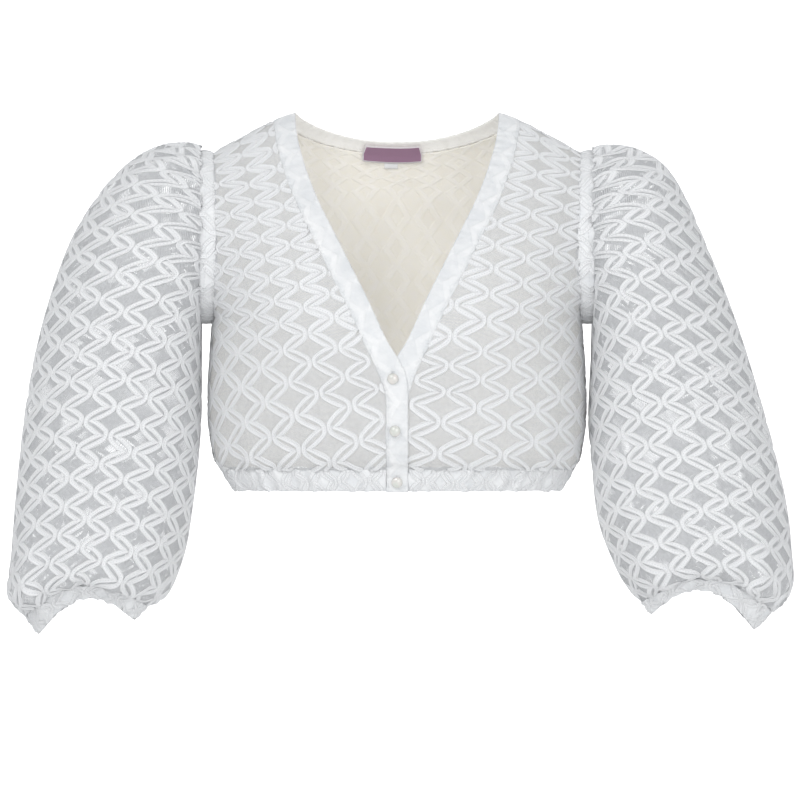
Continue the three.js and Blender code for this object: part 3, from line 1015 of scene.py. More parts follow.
class Wire:
    """A socket that is used in sums, as a plain number would be."""

    def __init__(self, tree: "Tree", socket: bpy.types.NodeSocket) -> None:
        """Hold the socket and the tree that new nodes go into."""
        self.tree = tree
        self.socket = socket

    def math(self, operation: str, *values: Any) -> "Wire":
        """Return a Math node's result for this socket and other values."""
        return self.tree.node("ShaderNodeMath", {"operation": operation},
                              dict(enumerate((self, *values))))

    def __add__(self, other: Any) -> "Wire":
        """Return the sum."""
        return self.math("ADD", other)

    def __radd__(self, other: Any) -> "Wire":
        """Return the sum, with the number first."""
        return self.math("ADD", other)

    def __sub__(self, other: Any) -> "Wire":
        """Return the difference."""
        return self.math("SUBTRACT", other)

    def __rsub__(self, other: Any) -> "Wire":
        """Return the difference, with the number first."""
        return self.tree.node("ShaderNodeMath", {"operation": "SUBTRACT"}, {0: other, 1: self})

    def __mul__(self, other: Any) -> "Wire":
        """Return the product."""
        return self.math("MULTIPLY", other)

    def __rmul__(self, other: Any) -> "Wire":
        """Return the product, with the number first."""
        return self.math("MULTIPLY", other)

    def cos(self) -> "Wire":
        """Return the cosine."""
        return self.math("COSINE")

    def size(self) -> "Wire":
        """Return the value without its sign."""
        return self.math("ABSOLUTE")

    def clamp(self) -> "Wire":
        """Return the value kept between 0 and 1."""
        return self.math("MINIMUM", 1.0).math("MAXIMUM", 0.0)

    def step(self, low: float, high: float) -> "Wire":
        """Return 0 below low, 1 above high and an eased value between."""
        return self.tree.node("ShaderNodeMapRange", {"interpolation_type": "SMOOTHSTEP"},
                              {0: self, 1: low, 2: high, 3: 0.0, 4: 1.0})


class Tree:
    """A material with its shader, and one way to add a node."""

    def __init__(self, name: str, roughness: float, constants: dict[str, Any] | None = None) -> None:
        """Start a material.

        Args:
            name: The material's name.
            roughness: The shader's roughness.
            constants: Other sockets of the shader that hold one value all over.
        """
        self.material = bpy.data.materials.new(name)
        self.material.use_nodes = True
        self.nodes = self.material.node_tree.nodes
        self.links = self.material.node_tree.links
        self.shader = self.nodes["Principled BSDF"]
        self.shader.inputs["Roughness"].default_value = roughness
        for socket, value in (constants or {}).items():
            self.shader.inputs[socket].default_value = value

    def node(self, kind: str, settings: dict[str, Any] | None = None,
             inputs: dict[int | str, Any] | None = None, output: int | str = 0) -> Wire:
        """Add a node.

        Args:
            kind: The node's type.
            settings: Its settings, which are set first.
            inputs: Values or wires for its sockets, by index or name.
            output: The output that is wanted.

        Returns:
            The output, as a wire.
        """
        node = self.nodes.new(kind)
        for key, value in (settings or {}).items():
            setattr(node, key, value)
        for key, value in (inputs or {}).items():
            self.feed(node.inputs[key], value)
        return Wire(self, node.outputs[output])

    def feed(self, socket: bpy.types.NodeSocket, value: Any) -> None:
        """Give a socket a wire or a plain value.

        Args:
            socket: The socket.
            value: A wire, number or colour.
        """
        if isinstance(value, Wire):
            self.links.new(value.socket, socket)
        elif socket.type == "RGBA":
            socket.default_value = (*value, 1.0)
        else:
            socket.default_value = value

    def place(self) -> tuple[Wire, Wire]:
        """Read the cloth's UV map.

        Returns:
            The millimetres across and along the cloth.
        """
        uv = self.node("ShaderNodeTexCoord", output="UV")
        split = self.node("ShaderNodeSeparateXYZ", inputs={0: uv})
        return split, Wire(self, split.socket.node.outputs[1])

    def noise(self, scale: float, detail: float = 2.0, roughness: float = 0.5) -> Wire:
        """Return cloudy values around a half, by the object's own coordinates in metres.

        Args:
            scale: Clouds in each metre.
            detail: Finer layers.
            roughness: Strength of the finer layers.

        Returns:
            The values.
        """
        here = self.node("ShaderNodeTexCoord", output="Object")
        return self.node("ShaderNodeTexNoise", inputs={
            "Vector": here, "Scale": scale, "Detail": detail, "Roughness": roughness})

    def mix(self, share: Any, first: Any, second: Any) -> Wire:
        """Return a colour between two colours."""
        return self.node("ShaderNodeMix", {"data_type": "RGBA"},
                         {0: share, 6: first, 7: second}, output=2)

    def bump(self, height: Wire, distance: float, strength: float = 1.0) -> None:
        """Send a height in millimetres' shares to the shader's normal.

        Args:
            height: The height.
            distance: Millimetres that a height of 1 stands.
            strength: Share of the bump that shows.
        """
        normal = self.node("ShaderNodeBump", inputs={
            "Height": height, "Distance": distance * MM, "Strength": strength})
        self.feed(self.shader.inputs["Normal"], normal)

    def colour(self, value: Any) -> None:
        """Set the shader's colour."""
        self.feed(self.shader.inputs["Base Color"], value)


Colour = tuple[float, float, float]


@dataclass(frozen=True)
class TapeFinish:
    """White lace tape: two braided cords with a row of tiny eyelets between them, with painted shade in
    the eyelets and between the braid's ribs.
    """

    name: str = "lace_tape"
    white: Colour = (0.90, 0.905, 0.915)
    # hollow: painted shade colour of the eyelets and of the grooves between the braid's ribs
    hollow: Colour = (0.66, 0.68, 0.70)
    roughness: float = 0.62
    eyelet: float = 2.6
    eyelet_row: float = 0.95
    braid: float = 1.3
    braid_slant: float = 1.4
    cord_at: float = 1.9

    def make(self) -> bpy.types.Material:
        """Make the material.

        Returns:
            The material.
        """
        tree = Tree(self.name, self.roughness, {"Sheen Weight": 0.15})
        across, along = tree.place()
        middle = 1.0 - (across.size() * (1 / self.eyelet_row)).clamp()
        eyelets = ((along * (TAU / self.eyelet)).cos() * middle).step(0.25, 0.8)
        slanted = along + across.size() * self.braid_slant
        ribs = (slanted * (TAU / self.braid)).cos() * 0.5 + 0.5
        cords = (across.size() - self.cord_at).size().step(0.9, 0.1)
        uneven = tree.noise(420.0).step(0.3, 0.7)
        # Painted shade: the eyelets and the grooves between the ribs take the hollow colour; the noise
        # adds uneven tone
        tone = (eyelets * 0.85 + (1.0 - uneven) * 0.12 + (1.0 - ribs) * 0.1).clamp()
        tree.colour(tree.mix(tone, self.white, self.hollow))
        tree.bump(ribs * (cords * 0.5 + 0.25) - eyelets * 0.8 + uneven * 0.3, 0.35)
        return tree.material


@dataclass(frozen=True)
class TulleFinish:
    """Fine tulle: a honeycomb of thread with open holes; the white thread is coloured grey as painted
    shade.
    """

    name: str = "tulle"
    # thread: grey as painted shade of the white net's own shadowing
    thread: Colour = (0.70, 0.71, 0.725)
    roughness: float = 0.7
    hole: float = 1.35
    cover: float = 0.85
    softness: float = 0.35

    def make(self) -> bpy.types.Material:
        """Make the material.

        Returns:
            The material.
        """
        tree = Tree(self.name, self.roughness, {"Sheen Weight": 0.1})
        across, along = tree.place()
        root = math.sqrt(3)
        turn = 2 * TAU / (root * self.hole)
        comb = ((along * turn).cos()
                + 2.0 * (along * (turn / 2)).cos() * (across * (turn * root / 2)).cos())
        uneven = tree.noise(90.0, 1.0) * 0.5
        thread = (comb + uneven - 0.25).step(self.cover + self.softness, self.cover - self.softness)
        # The painted-shade grey, in random darker patches of tone
        darker = tuple(0.9 * part for part in self.thread)
        tree.colour(tree.mix(tree.noise(300.0).step(0.3, 0.7), self.thread, darker))
        tree.feed(tree.shader.inputs["Alpha"], thread)
        tree.bump(thread, 0.15)
        return tree.material


@dataclass(frozen=True)
class WovenFinish:
    """Plain woven cloth with a fine weave, soft creases and an optional line of stitches, with painted
    shade in the creases and the stitch groove.
    """

    name: str
    pale: Colour
    deep: Colour
    roughness: float = 0.8
    weave: float = 0.55
    crease: float = 0.5
    stitch_lines: tuple[float, ...] = ()
    turned: bool = False
    lattice: bool = False
    # glow: a faint painted light, emission in the cloth's pale colour
    glow: float = 0.0

    STITCH = 3.2
    LACE_REPEAT = 32.0
    LACE_WAVE, LACE_SHIFT = 7.0, 11.0

    def make(self) -> bpy.types.Material:
        """Make the material.

        Returns:
            The material.
        """
        tree = Tree(self.name, self.roughness, {
            "Sheen Weight": 0.12, "Emission Color": (*self.pale, 1.0), "Emission Strength": self.glow})
        across, along = tree.place()
        if self.turned:
            across, along = along, across
        turn = TAU / self.weave
        threads = (across * turn).cos() * (along * turn).cos() * 0.5 + 0.5
        creases = tree.noise(70.0, 4.0, 0.6).step(0.32, 0.68)
        clouds = tree.noise(16.0, 2.0).step(0.3, 0.7)
        height = threads * 0.12 + creases * self.crease
        # Painted shade: the deep colour fills the creases' troughs; the clouds and the weave add their
        # own tone
        shade = (1.0 - creases) * 0.45 + (1.0 - clouds) * 0.25 + threads * 0.12
        for line in self.stitch_lines:
            # Painted shade along the sunken stitch groove, and painted light on the raised stitches
            near = (across - line).size().step(0.75, 0.2)
            stitch = near * (along * (TAU / self.STITCH)).cos().step(-0.75, -0.45)
            height = height - near * 0.6 + stitch * 0.55
            shade = shade + near * 0.25 - stitch * 0.15
        if self.lattice:
            # Painted light and shade of the lace relief: its ridges lighter and the ground between them
            # darker
            ghost = self.ghost(across, along)
            height = height + ghost * 0.9
            shade = shade - ghost * 0.32 + 0.16
        tree.colour(tree.mix(shade.clamp(), self.pale, self.deep))
        tree.bump(height, 0.5)
        return tree.material

    def ghost(self, across: Wire, along: Wire) -> Wire:
        """Return the relief of the lace that shows faintly through the lining.

        Args:
            across: Millimetres across.
            along: Millimetres along.

        Returns:
            The relief, from 0 to 1.
        """
        turn = TAU / self.LACE_REPEAT
        wave = (along * (turn / 2)).cos().math("ARCCOSINE") * self.LACE_WAVE - self.LACE_SHIFT
        first = ((across + wave) * turn).cos()
        second = ((across - wave) * turn).cos()
        return first.math("MAXIMUM", second).step(0.55, 0.9)


@dataclass(frozen=True)
class PearlFinish:
    """A glossy pearl with a faint change of tone."""

    name: str = "pearl"
    body: Colour = (0.66, 0.68, 0.63)
    blush: Colour = (0.76, 0.71, 0.68)

    def make(self) -> bpy.types.Material:
        """Make the material.

        Returns:
            The material.
        """
        tree = Tree(self.name, 0.22, {"Coat Weight": 0.9, "Coat Roughness": 0.06,
                                      "Specular IOR Level": 0.9, "Coat IOR": 1.9})
        tree.colour(tree.mix(tree.noise(160.0, 3.0).step(0.35, 0.7), self.body, self.blush))
        tree.bump(tree.noise(900.0), 0.03)
        return tree.material


@dataclass(frozen=True)
class LabelFinish:
    """A woven label with a pale selvedge; its field stays bare."""

    name: str
    ground: Colour
    edge: Colour
    half_width: float
    half_depth: float
    edge_width: float
    roughness: float = 0.5
    rib: float = 0.5
    float_length: float = 0.7

    def rim(self, place: Wire, half: float) -> Wire:
        """Return where a place is on the selvedge at either end of the label."""
        inner = half - self.edge_width
        return place.size().step(inner - 0.3, inner + 0.1)

    def make(self) -> bpy.types.Material:
        """Make the material.

        Returns:
            The material.
        """
        tree = Tree(self.name, self.roughness, {"Sheen Weight": 0.2})
        across, along = tree.place()
        rim = self.rim(across, self.half_width).math("MAXIMUM", self.rim(along, self.half_depth))
        ribs = (along * (TAU / self.rib)).cos() * 0.5 + 0.5
        floats = (across * (TAU / self.float_length)).cos() * 0.5 + 0.5
        lighter = tuple(min(1.0, part * 1.25) for part in self.ground)
        cloth = tree.mix(ribs * floats * 0.5, self.ground, lighter)
        tree.colour(tree.mix(rim, cloth, self.edge))
        tree.bump(ribs * 0.6 + floats * 0.3 + rim * 0.5, 0.12)
        return tree.material


# Each cloth's colour and its _SHADE copy, which WovenFinish mixes in as painted shade in creases and
# stitch grooves and as random tone
WHITE: Colour = (0.90, 0.905, 0.91)
WHITE_SHADE: Colour = (0.74, 0.76, 0.78)
CREAM: Colour = (0.95, 0.935, 0.9)
CREAM_SHADE: Colour = (0.87, 0.855, 0.82)
IVORY: Colour = (0.95, 0.92, 0.85)
IVORY_SHADE: Colour = (0.86, 0.82, 0.74)
MAUVE: Colour = (0.34, 0.19, 0.29)
MAUVE_EDGE: Colour = (0.84, 0.80, 0.82)
TAB_WHITE: Colour = (0.95, 0.95, 0.96)
TAB_EDGE: Colour = (0.97, 0.97, 0.97)


class Wardrobe:
    """Every finish of the blouse, made once."""

    def __init__(self) -> None:
        """Make the materials."""
        self.tape = TapeFinish().make()
        self.tulle = TulleFinish().make()
        self.band = WovenFinish(
            "band", WHITE, WHITE_SHADE, crease=1.1, stitch_lines=(2.2,), lattice=True).make()
        self.binding = WovenFinish(
            "binding", WHITE, WHITE_SHADE, crease=1.4, stitch_lines=(2.0, 10.5), turned=True).make()
        self.gathered = WovenFinish("gathered", WHITE, WHITE_SHADE, crease=1.4).make()
        # The facing and the lining glow faintly: painted light that brightens their shaded inside
        self.facing = WovenFinish(
            "facing", CREAM, CREAM_SHADE, crease=1.1, stitch_lines=(2.2,), glow=0.14).make()
        self.lining = WovenFinish(
            "lining", IVORY, IVORY_SHADE, roughness=0.7, lattice=True, glow=0.16).make()
        self.pearl = PearlFinish().make()
        self.thread = WovenFinish("thread", WHITE, WHITE_SHADE, weave=0.3).make()
        self.label = LabelFinish(
            "label", MAUVE, MAUVE_EDGE, half_width=31.0, half_depth=9.7, edge_width=1.3).make()
        self.tab = LabelFinish(
            "size_tab", TAB_WHITE, TAB_EDGE, half_width=7.0, half_depth=3.0, edge_width=0.5).make()


def declare(piece: bpy.types.Object, slot: str, *nodes: str) -> bpy.types.Object:
    """Let a piece ride on the blouse, hide the nodes that it stands for, and report it with their names.

    Args:
        piece: The piece.
        slot: Not used.
        nodes: The nodes that it stands for.

    Returns:
        The piece.
    """
    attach(piece, BODY)
    if nodes:
        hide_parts(*nodes)
    stands_for = ", ".join(nodes) or "detail"
    log.info("%s: %d faces, for %s", piece.name, len(piece.data.polygons), stands_for)
    return piece


def cut_sheet(cut: tuple[float, float],
              share: float = 1.0) -> None:
    """Work out the area that a flat cut's own shape fills, and keep nothing.

    Args:
        cut: Width and length of the flat cut, in millimetres.
        share: Share of the width times the length that the cut's own shape fills.
    """
    width, length = cut[0] * MM, cut[1] * MM
    width * length * share


@dataclass
class LacePanel:
    """Tulle with tape lace on it, which stands for one node."""

    name: str
    cloth: Cloth
    lattice: Lattice
    cut: tuple[float, float]
    rows: int
    columns: int
    share: float = 1.0
    net_lift: float = 0.2

    def build(self, finishes: Wardrobe) -> list[bpy.types.Object]:
        """Build the net and its tapes.

        Args:
            finishes: The blouse's finishes.

        Returns:
            The net and the tapes.
        """
        tapes = tape_lace(f"{self.name}_tapes", self.cloth, self.lattice, finishes.tape,
                          lift=self.net_lift)
        declare(tapes, "lace")
        net = cloth_sheet(f"{self.name}_tulle", self.cloth, finishes.tulle, self.rows, self.columns,
                          lift=self.net_lift)
        declare(net, "lace", self.name)
        cut_sheet(self.cut, share=self.share)
        return [net, tapes]


@dataclass
class Front:
    """A front: straight lace from the hem casing to the shoulder seam."""

    side: Side
    lattice: Lattice
    folds: tuple[Fold, ...]
    cut: tuple[float, float] = (270.0, 370.0)
    share: float = 0.68
    grain: float = 1.03

    def cloth(self) -> Cloth:
        """Work out the front's surface with its soft folds.

        Returns:
            The surface.
        """
        rows = front_grid()
        starts = np.array([row.edge_x * self.grain for row in FRONT_ROWS[1:]])
        if self.side is Side.RIGHT:
            rows = mirrored(rows)
        cloth = panel_cloth(rows, starts)
        cloth.raise_by(lambda x, y, end: sum(fold.relief(x, y) for fold in self.folds))
        return cloth

    def build(self, finishes: Wardrobe) -> list[bpy.types.Object]:
        """Build the front's net and tapes.

        Args:
            finishes: The blouse's finishes.

        Returns:
            The pieces.
        """
        panel = LacePanel(f"front_{self.side.word}", self.cloth(), self.lattice, self.cut,
                          rows=110, columns=70, share=self.share)
        return panel.build(finishes)


@dataclass
class Back:
    """The back: lace outside and an ivory lining inside."""

    lattice: Lattice
    folds: tuple[Fold, ...]
    cut: tuple[float, float] = (600.0, 345.0)
    share: float = 0.82
    lining_cut: tuple[float, float] = (520.0, 340.0)
    lining_sink: float = 1.3
    lining_wall: float = 0.7
    lining_pull: float = 0.2
    measured_at: float = 0.82

    def cloth(self) -> Cloth:
        """Work out the back's surface with its soft folds.

        Returns:
            The surface.
        """
        rows = back_grid()
        starts = np.array([-lengths(row)[-1] / 2 for row in rows])
        cloth = panel_cloth(rows, starts, self.measured_at)
        cloth.raise_by(lambda x, y, end: sum(fold.relief(x, y) for fold in self.folds))
        return cloth

    def build(self, finishes: Wardrobe) -> list[bpy.types.Object]:
        """Build the back's net, tapes and lining.

        Args:
            finishes: The blouse's finishes.

        Returns:
            The pieces.
        """
        cloth = self.cloth()
        panel = LacePanel("back", cloth, self.lattice, self.cut, rows=110, columns=140,
                          share=self.share)
        pieces = panel.build(finishes)
        lining = cloth_sheet("back_inner_lining", cloth, finishes.lining, rows=90, columns=120,
                             lift=-self.lining_sink, wall=self.lining_wall, pull=self.lining_pull)
        declare(lining, "lining", "back_lining")
        cut_sheet(self.lining_cut, share=self.share)
        return [*pieces, lining]


@dataclass
class Gathers:
    """Uneven gathers along a casing."""

    count: int
    width: float
    height: float
    seed: float

    SHIFT, SHIFT_RATE = 0.26, 2.4
    MEAN_HEIGHT, HEIGHT_SWING, HEIGHT_RATE = 0.75, 0.4, 1.7
    SHARPNESS = 0.3

    def relief(self, across: np.ndarray) -> np.ndarray:
        """Return the gathers' height at places across the cloth.

        Args:
            across: Places across the cloth.

        Returns:
            Heights in millimetres.
        """
        pitch = self.width / self.count
        total = np.zeros_like(across)
        for k in range(self.count):
            shift = self.SHIFT * math.sin(self.SHIFT_RATE * k + self.seed)
            swing = self.HEIGHT_SWING * math.sin(self.HEIGHT_RATE * k + 2 * self.seed)
            offset = across - (k + 0.5 + shift) * pitch
            offset = (offset + self.width / 2) % self.width - self.width / 2
            total = total + (self.height * (self.MEAN_HEIGHT + swing)
                             * np.exp(-(offset / (self.SHARPNESS * pitch))**2))
        return total


@dataclass
class Casing:
    """An elastic casing: a gathered band of the lace, doubled over."""

    name: str
    cloth: Cloth
    gathers: Gathers
    depth: float
    lattice: Lattice
    cut: tuple[float, float]
    rows: int
    columns: int
    puff: float = 1.6
    wall: float = 0.9
    elastic_dip: float = 0.35
    elastic_half: float = 0.16
    waver: float = 1.3
    tape_sink: float = 0.1

    def relief(self, x: np.ndarray, y: np.ndarray, end: np.ndarray) -> np.ndarray:
        """Return the height of the puffed, gathered band over its flat cloth.

        Args:
            x: Places across the cloth.
            y: Places along it.
            end: Not used.

        Returns:
            Heights in millimetres.
        """
        share = np.clip(y / self.depth, 0, 1)
        wave = self.gathers.relief(x + self.waver * np.sin(0.35 * y + 0.05 * x))
        elastic = 1 - self.elastic_dip * np.exp(-((share - 0.5) / self.elastic_half)**2)
        return self.puff * np.sin(np.pi * share) + wave * elastic

    def build(self, finishes: Wardrobe) -> list[bpy.types.Object]:
        """Build the casing and the tapes that are gathered in with it.

        Args:
            finishes: The blouse's finishes.

        Returns:
            The band and its tapes.
        """
        self.cloth.raise_by(self.relief)
        tapes = tape_lace(f"{self.name}_tapes", self.cloth, self.lattice, finishes.tape,
                          spare=0.0, lift=-self.tape_sink)
        declare(tapes, "gathered_lace")
        band = cloth_sheet(f"{self.name}_band", self.cloth, finishes.gathered, self.rows,
                           self.columns, wall=self.wall)
        declare(band, "gathered_lace", self.name)
        cut_sheet(self.cut)
        return [band, tapes]


def between(first: np.ndarray, last: np.ndarray, steps: int) -> np.ndarray:
    """Return rows of points from the first row to the last, in even steps."""
    share = np.linspace(0, 1, steps + 1)[:, None, None]
    return first + (last - first) * share


# Steps along the hem, its curves and the back neck, degrees round an armhole, and rows of a band
HEM_STEPS = 640
HEM_CURVE_STEPS = 60
BACK_BAND_STEPS = 28
ARMHOLE_STEP = 5
BAND_ROWS = 4


def hem_ring(level: int) -> np.ndarray:
    """Return the hem from the left placket edge round the back to the right one.

    Args:
        level: Row of the panels' tables, 0 at the hem's edge.

    Returns:
        The points, a row each.
    """
    front = bezier(panel_controls(FRONT_ROWS[level], -1), HEM_CURVE_STEPS)
    back = bezier(panel_controls(BACK_ROWS[level], 1), HEM_CURVE_STEPS)
    left = np.concatenate([front, back[::-1][1:]])
    return spaced(np.concatenate([left, mirrored(left[::-1])[1:]]), HEM_STEPS)


def hem_casing() -> Casing:
    """Lay out the hem's elastic casing.

    Returns:
        The casing.
    """
    low, high = hem_ring(0), hem_ring(1)
    around = float(lengths(high)[-1])
    lace = Lattice(pitch=16.0, period=21.0, half_tape=1.9, corner=6.5, wander=2.2, seed=0.7)
    return Casing("hem_casing", tube_cloth(between(low, high, BAND_ROWS), around, closed=False),
                  Gathers(count=62, width=around, height=2.9, seed=0.4), depth=23.0, lattice=lace,
                  cut=(1300.0, 23.0), rows=12, columns=620)


@dataclass
class Sleeve:
    """A puff sleeve with its cap gathers, cuff folds and cuff casing."""

    side: Side
    sections: list[Section]
    lattice: Lattice
    cap_folds: tuple[Fold, ...]
    cuff_folds: tuple[Fold, ...]
    width: float = SLEEVE_WIDTH
    length: float = 470.0
    ring: int = 192
    cap_depth: float = 1.3
    cuff_depth: float = 1.5
    seam_share: float = 0.35
    seam_fade: float = 14.0

    def cloth(self) -> Cloth:
        """Work out the sleeve's surface from the cuff seam to the armhole.

        Returns:
            The surface.
        """
        rings = [sleeve_ring(section, self.ring, self.side) for section in self.sections[-2::-1]]
        cloth = tube_cloth(np.array(rings), self.width)
        cloth.raise_by(self.relief)
        return cloth

    def relief(self, x: np.ndarray, y: np.ndarray, end: np.ndarray) -> np.ndarray:
        """Return the height of the cap's and the cuff's folds over the smooth sleeve.

        Args:
            x: Places across the cloth.
            y: Places along it.
            end: Distances to the cloth's far end.

        Returns:
            Heights in millimetres.
        """
        cap = sum(fold.relief(x, end, self.width) for fold in self.cap_folds)
        cuff = sum(fold.relief(x, y, self.width) for fold in self.cuff_folds)
        freed = self.seam_share + (1 - self.seam_share) * smooth(y / self.seam_fade)
        return self.cap_depth * cap + self.cuff_depth * freed * cuff

    def cuff(self) -> Casing:
        """Lay out the elastic cuff below the sleeve.

        Returns:
            The cuff's casing.
        """
        high, low = (sleeve_ring(section, self.ring, self.side) for section in self.sections[-2:])
        around = float(lengths(high)[-1])
        lace = Lattice(pitch=around / 20, period=20.0, half_tape=1.9, corner=6.5, wander=1.6,
                       seed=1.1, wrap=around)
        return Casing(f"cuff_{self.side.word}", tube_cloth(between(low, high, BAND_ROWS), around),
                      Gathers(count=36, width=around, height=3.0, seed=self.lattice.seed),
                      depth=21.0, lattice=lace, cut=(490.0, 21.0), rows=12, columns=300)

    def build(self, finishes: Wardrobe) -> list[bpy.types.Object]:
        """Build the sleeve and its cuff.

        Args:
            finishes: The blouse's finishes.

        Returns:
            The pieces.
        """
        panel = LacePanel(f"sleeve_{self.side.word}", self.cloth(), self.lattice,
                          (self.width, self.length), rows=120, columns=180)
        return [*panel.build(finishes), *self.cuff().build(finishes)]


@dataclass
class Band:
    """A folded band of plain cloth along an edge, slightly puffed, with fine creases."""

    name: str
    cloth: Cloth
    width: float
    cut: tuple[float, float]
    rows: int
    columns: int
    base_lift: float = 0.7
    puff: float = 0.8
    crease: float = 0.36
    wall: float = 1.2
    overlap: float = 0.4
    tape_sink: float = 0.2
    overlay: Callable[[np.ndarray, np.ndarray], np.ndarray] | None = None
    lattice: Lattice | None = None

    def relief(self, x: np.ndarray, y: np.ndarray, end: np.ndarray) -> np.ndarray:
        """Return the height of the puffed, creased band over its flat cloth.

        Args:
            x: Places across the cloth.
            y: Places along it.
            end: Not used.

        Returns:
            Heights in millimetres.
        """
        across, along = (y, x) if self.cloth.by_column else (x, y)
        off_middle = np.abs(2 * np.clip(across / self.width, 0, 1) - 1)
        puff = self.puff * (1 - off_middle**3)
        crease = (np.sin(0.62 * along + 1.5 * np.sin(0.11 * along))
                  + 0.7 * np.sin(1.07 * along + 0.3 * across))
        lift = self.overlay(across, along) if self.overlay else 0.0
        return self.base_lift + puff + lift + self.crease * crease * (0.4 + off_middle)

    def build(self, finish: bpy.types.Material, tape: bpy.types.Material) -> bpy.types.Object:
        """Build the band in its finish, with the lace tapes that cross it if there are any.

        Args:
            finish: The band's finish.
            tape: The tapes' finish.

        Returns:
            The band.
        """
        self.cloth.raise_by(self.relief)
        band = cloth_sheet(f"{self.name}_cloth", self.cloth, finish, self.rows, self.columns,
                           wall=self.wall, pull=-self.overlap)
        declare(band, "band", self.name)
        tapes = []
        if self.lattice:
            tapes.append(tape_lace(f"{self.name}_tapes", self.cloth, self.lattice, tape,
                                   spare=0.0, lift=-self.tape_sink))
            declare(tapes[0], "lace")
        cut_sheet(self.cut)
        return band


def neck_band(side: Side) -> Band:
    """Return the band of one side: the neck edge, and the placket or underlap below it.

    Args:
        side: Right or left, as worn.

    Returns:
        The band.
    """
    reach = -PLACKET_HALF if side is Side.RIGHT else -UNDERLAP_REACH
    edge = np.array([[(row.edge_x, row.edge_y, row.edge_z)] for row in FRONT_ROWS])
    neck = np.array([[(max(row.neck_x, reach), row.neck_y, row.neck_z)] for row in FRONT_ROWS])
    points = edge + (neck - edge) * np.linspace(0, 1, BAND_ROWS + 1)[:, None]
    if side is Side.RIGHT:
        points = mirrored(points)
    rise = lengths(points[:, 2])
    lift = np.array([row.lift for row in FRONT_ROWS])

    def overlay(across: np.ndarray, along: np.ndarray) -> np.ndarray:
        """Work out how far the placket stands over the underlap.

        Args:
            across: Places across the band.
            along: Places along it, from the hem up.

        Returns:
            Heights in millimetres.
        """
        if side is Side.LEFT:
            return np.zeros_like(across)
        return PLACKET_LIFT * np.interp(along, rise, lift) * smooth((across - 0.5) / PLACKET_SLOPE)
    return Band(f"neck_band_{side.word}", panel_cloth(points, np.zeros(len(points))), width=20.0,
                cut=(22.0, 500.0), rows=300, columns=12, overlay=overlay)


def back_neck_band() -> Band:
    """Lay out the band across the back neck.

    Returns:
        The band.
    """
    edge, free = (spaced(back_neck_curve(edge=which), BACK_BAND_STEPS) for which in (True, False))
    points = between(edge, free, BAND_ROWS).transpose(1, 0, 2)
    return Band("neck_band_back", panel_cloth(points, np.zeros(len(points))), width=13.0,
                cut=(18.0, 300.0), rows=150, columns=8)


def armhole_binding(side: Side) -> Band:
    """Return the bound seam round one armhole.

    Args:
        side: Right or left, as worn.

    Returns:
        The band.
    """
    rings = []
    for outwards, flare in ((0.0, 0.0), (BINDING_WIDTH, BINDING_FLARE)):
        ring = [armhole_point(min(phi, 360 - phi), -1 if phi < UNDER_ARM else 1, outwards, flare)
                for phi in range(0, 360, ARMHOLE_STEP)]
        rings.append(mirrored(np.array(ring)) if side is Side.RIGHT else np.array(ring))
    around = float(lengths(rings[0])[-1])
    lace = Lattice(pitch=around / 24, period=26.0, half_tape=2.2, corner=7.5, wander=3.0, seed=1.3,
                   wrap=around)
    return Band(f"armhole_binding_{side.word}", tube_cloth(between(*rings, BAND_ROWS), around),
                width=BINDING_WIDTH, cut=(470.0, 14.0), rows=8, columns=300,
                base_lift=0.3, puff=1.0, crease=0.6, lattice=lace)


def placket_at(z: float) -> tuple[np.ndarray, np.ndarray]:
    """Return the middle of the placket at a height, and the way that its face looks.

    Args:
        z: The height.

    Returns:
        The point and the direction.
    """
    k = next(i for i, row in enumerate(FRONT_ROWS) if row.neck_z > z)
    low, high = FRONT_ROWS[k - 1], FRONT_ROWS[k]
    share = (z - low.neck_z) / (high.neck_z - low.neck_z)
    rise = np.array([0.0, high.neck_y - low.neck_y, high.neck_z - low.neck_z])
    rise /= np.linalg.norm(rise)
    return (np.array([0.0, low.neck_y + share * (high.neck_y - low.neck_y), z]),
            np.array([0.0, -rise[2], rise[1]]))


